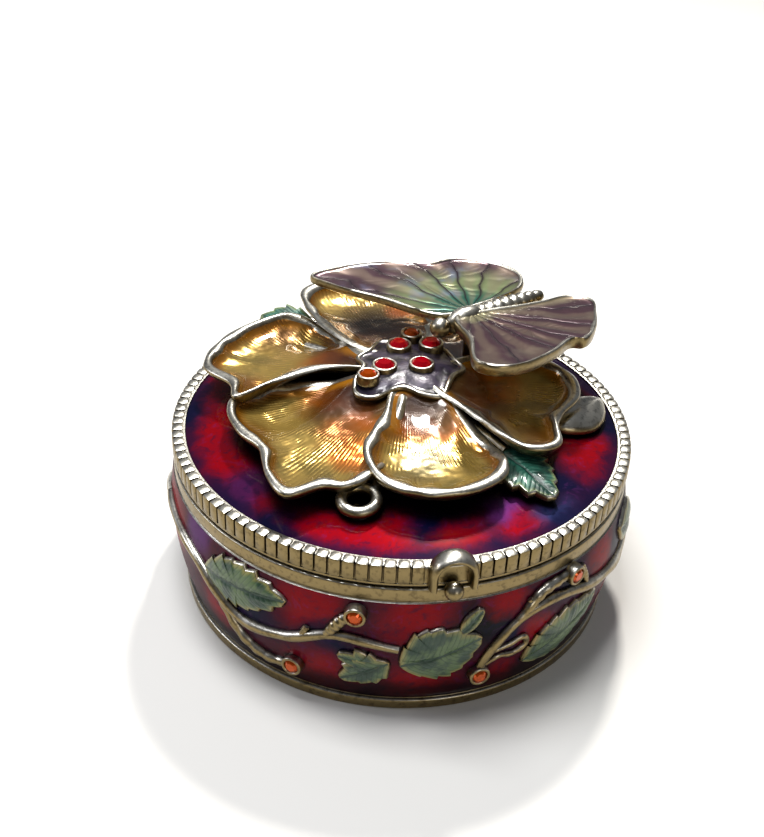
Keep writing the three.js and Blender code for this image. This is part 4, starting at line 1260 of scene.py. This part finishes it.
# %% [markdown]
# ## Camera
# The lens looks down at a third of a right angle from just left of the catch. The values come from fitting
# the rims' ellipses to the picture, with the lens centred, so nothing needs shifting.

# %% Camera
IMAGE_HEIGHT_PX = 837
FOCAL_PX = 1181.9
FILM_MM = 36.0
AIM = Vector((-4.278, -7.592, 28.835)) * MM
DISTANCE = 146.39 * MM
AZIMUTH, ELEVATION, ROLL = (math.radians(a) for a in (-11.93, 33.85, 2.62))

lens = bpy.data.cameras.new("camera")
lens.lens = FOCAL_PX / IMAGE_HEIGHT_PX * FILM_MM
lens.sensor_width = FILM_MM
lens.clip_start = 0.005
camera = into_scene("camera", lens)
level = Vector((math.cos(AZIMUTH), math.sin(AZIMUTH), 0))
back = Vector((
    math.sin(AZIMUTH) * math.cos(ELEVATION), -math.cos(AZIMUTH) * math.cos(ELEVATION), math.sin(ELEVATION)))
right = level * math.cos(ROLL) + back.cross(level) * math.sin(ROLL)
facing_box = Matrix((right, back.cross(right), back)).transposed().to_4x4()
camera.matrix_world = Matrix.Translation(AIM + DISTANCE * back) @ facing_box
bpy.context.scene.camera = camera
print("camera at", [round(c / MM, 1) for c in camera.location], "mm, lens", round(lens.lens, 1), "mm")

# %% [markdown]
# ## Floor and light
# A wide pale floor stands in for a tabletop. The main light is a small panel behind and above, where its
# reflection in the lid's dome shows it to be, so petals and wings throw their shadow towards the viewer. A
# wide soft panel overhead opens the colours, one at the left wakes the rims, and a weak one in front fills
# in.

# %% Floor and lights
FLOOR_HALF_WIDTH = 2.0
floor_shape = bmesh.new()
bmesh.ops.create_grid(floor_shape, x_segments=1, y_segments=1, size=FLOOR_HALF_WIDTH)
mesh = bpy.data.meshes.new("floor")
floor_shape.to_mesh(mesh)
floor_shape.free()
floor = into_scene("floor", mesh)
matte, tree, shader = new_material("pale_matte_card")
feed(tree, shader, {"Base Color": paint("#e6e5e2"), "Roughness": 0.9})
mesh.materials.append(matte)


LIT_POINT = Vector((0, 0, 20)) * MM


def panel(name, place, size, power, colour):
    """A square soft light that faces the box."""
    data = bpy.data.lights.new(name, "AREA")
    data.size = size
    data.energy = power
    data.color = paint(colour)[:3]
    light = into_scene(name, data)
    light.location = place
    light.rotation_euler = (LIT_POINT - light.location).to_track_quat("-Z", "Y").to_euler()


panel("key", Vector((0.105, 0.27, 0.41)), 0.04, 2.1, "#fffaf2")
panel("overhead", Vector((-0.08, 0.04, 0.46)), 0.18, 1.9, "#ffffff")
panel("left", Vector((-0.34, 0.06, 0.16)), 0.10, 0.35, "#f2f5ff")
panel("front", Vector((0.10, -0.42, 0.14)), 0.16, 0.3, "#ffffff")
world = bpy.data.worlds.new("studio")
world.use_nodes = True
feed(world.node_tree, world.node_tree.nodes["Background"], {"Color": paint("#e9ecf2"), "Strength": 0.14})
bpy.context.scene.world = world
bpy.context.scene.view_settings.view_transform = "Standard"
print("lights:", [light.name for light in bpy.data.lights])
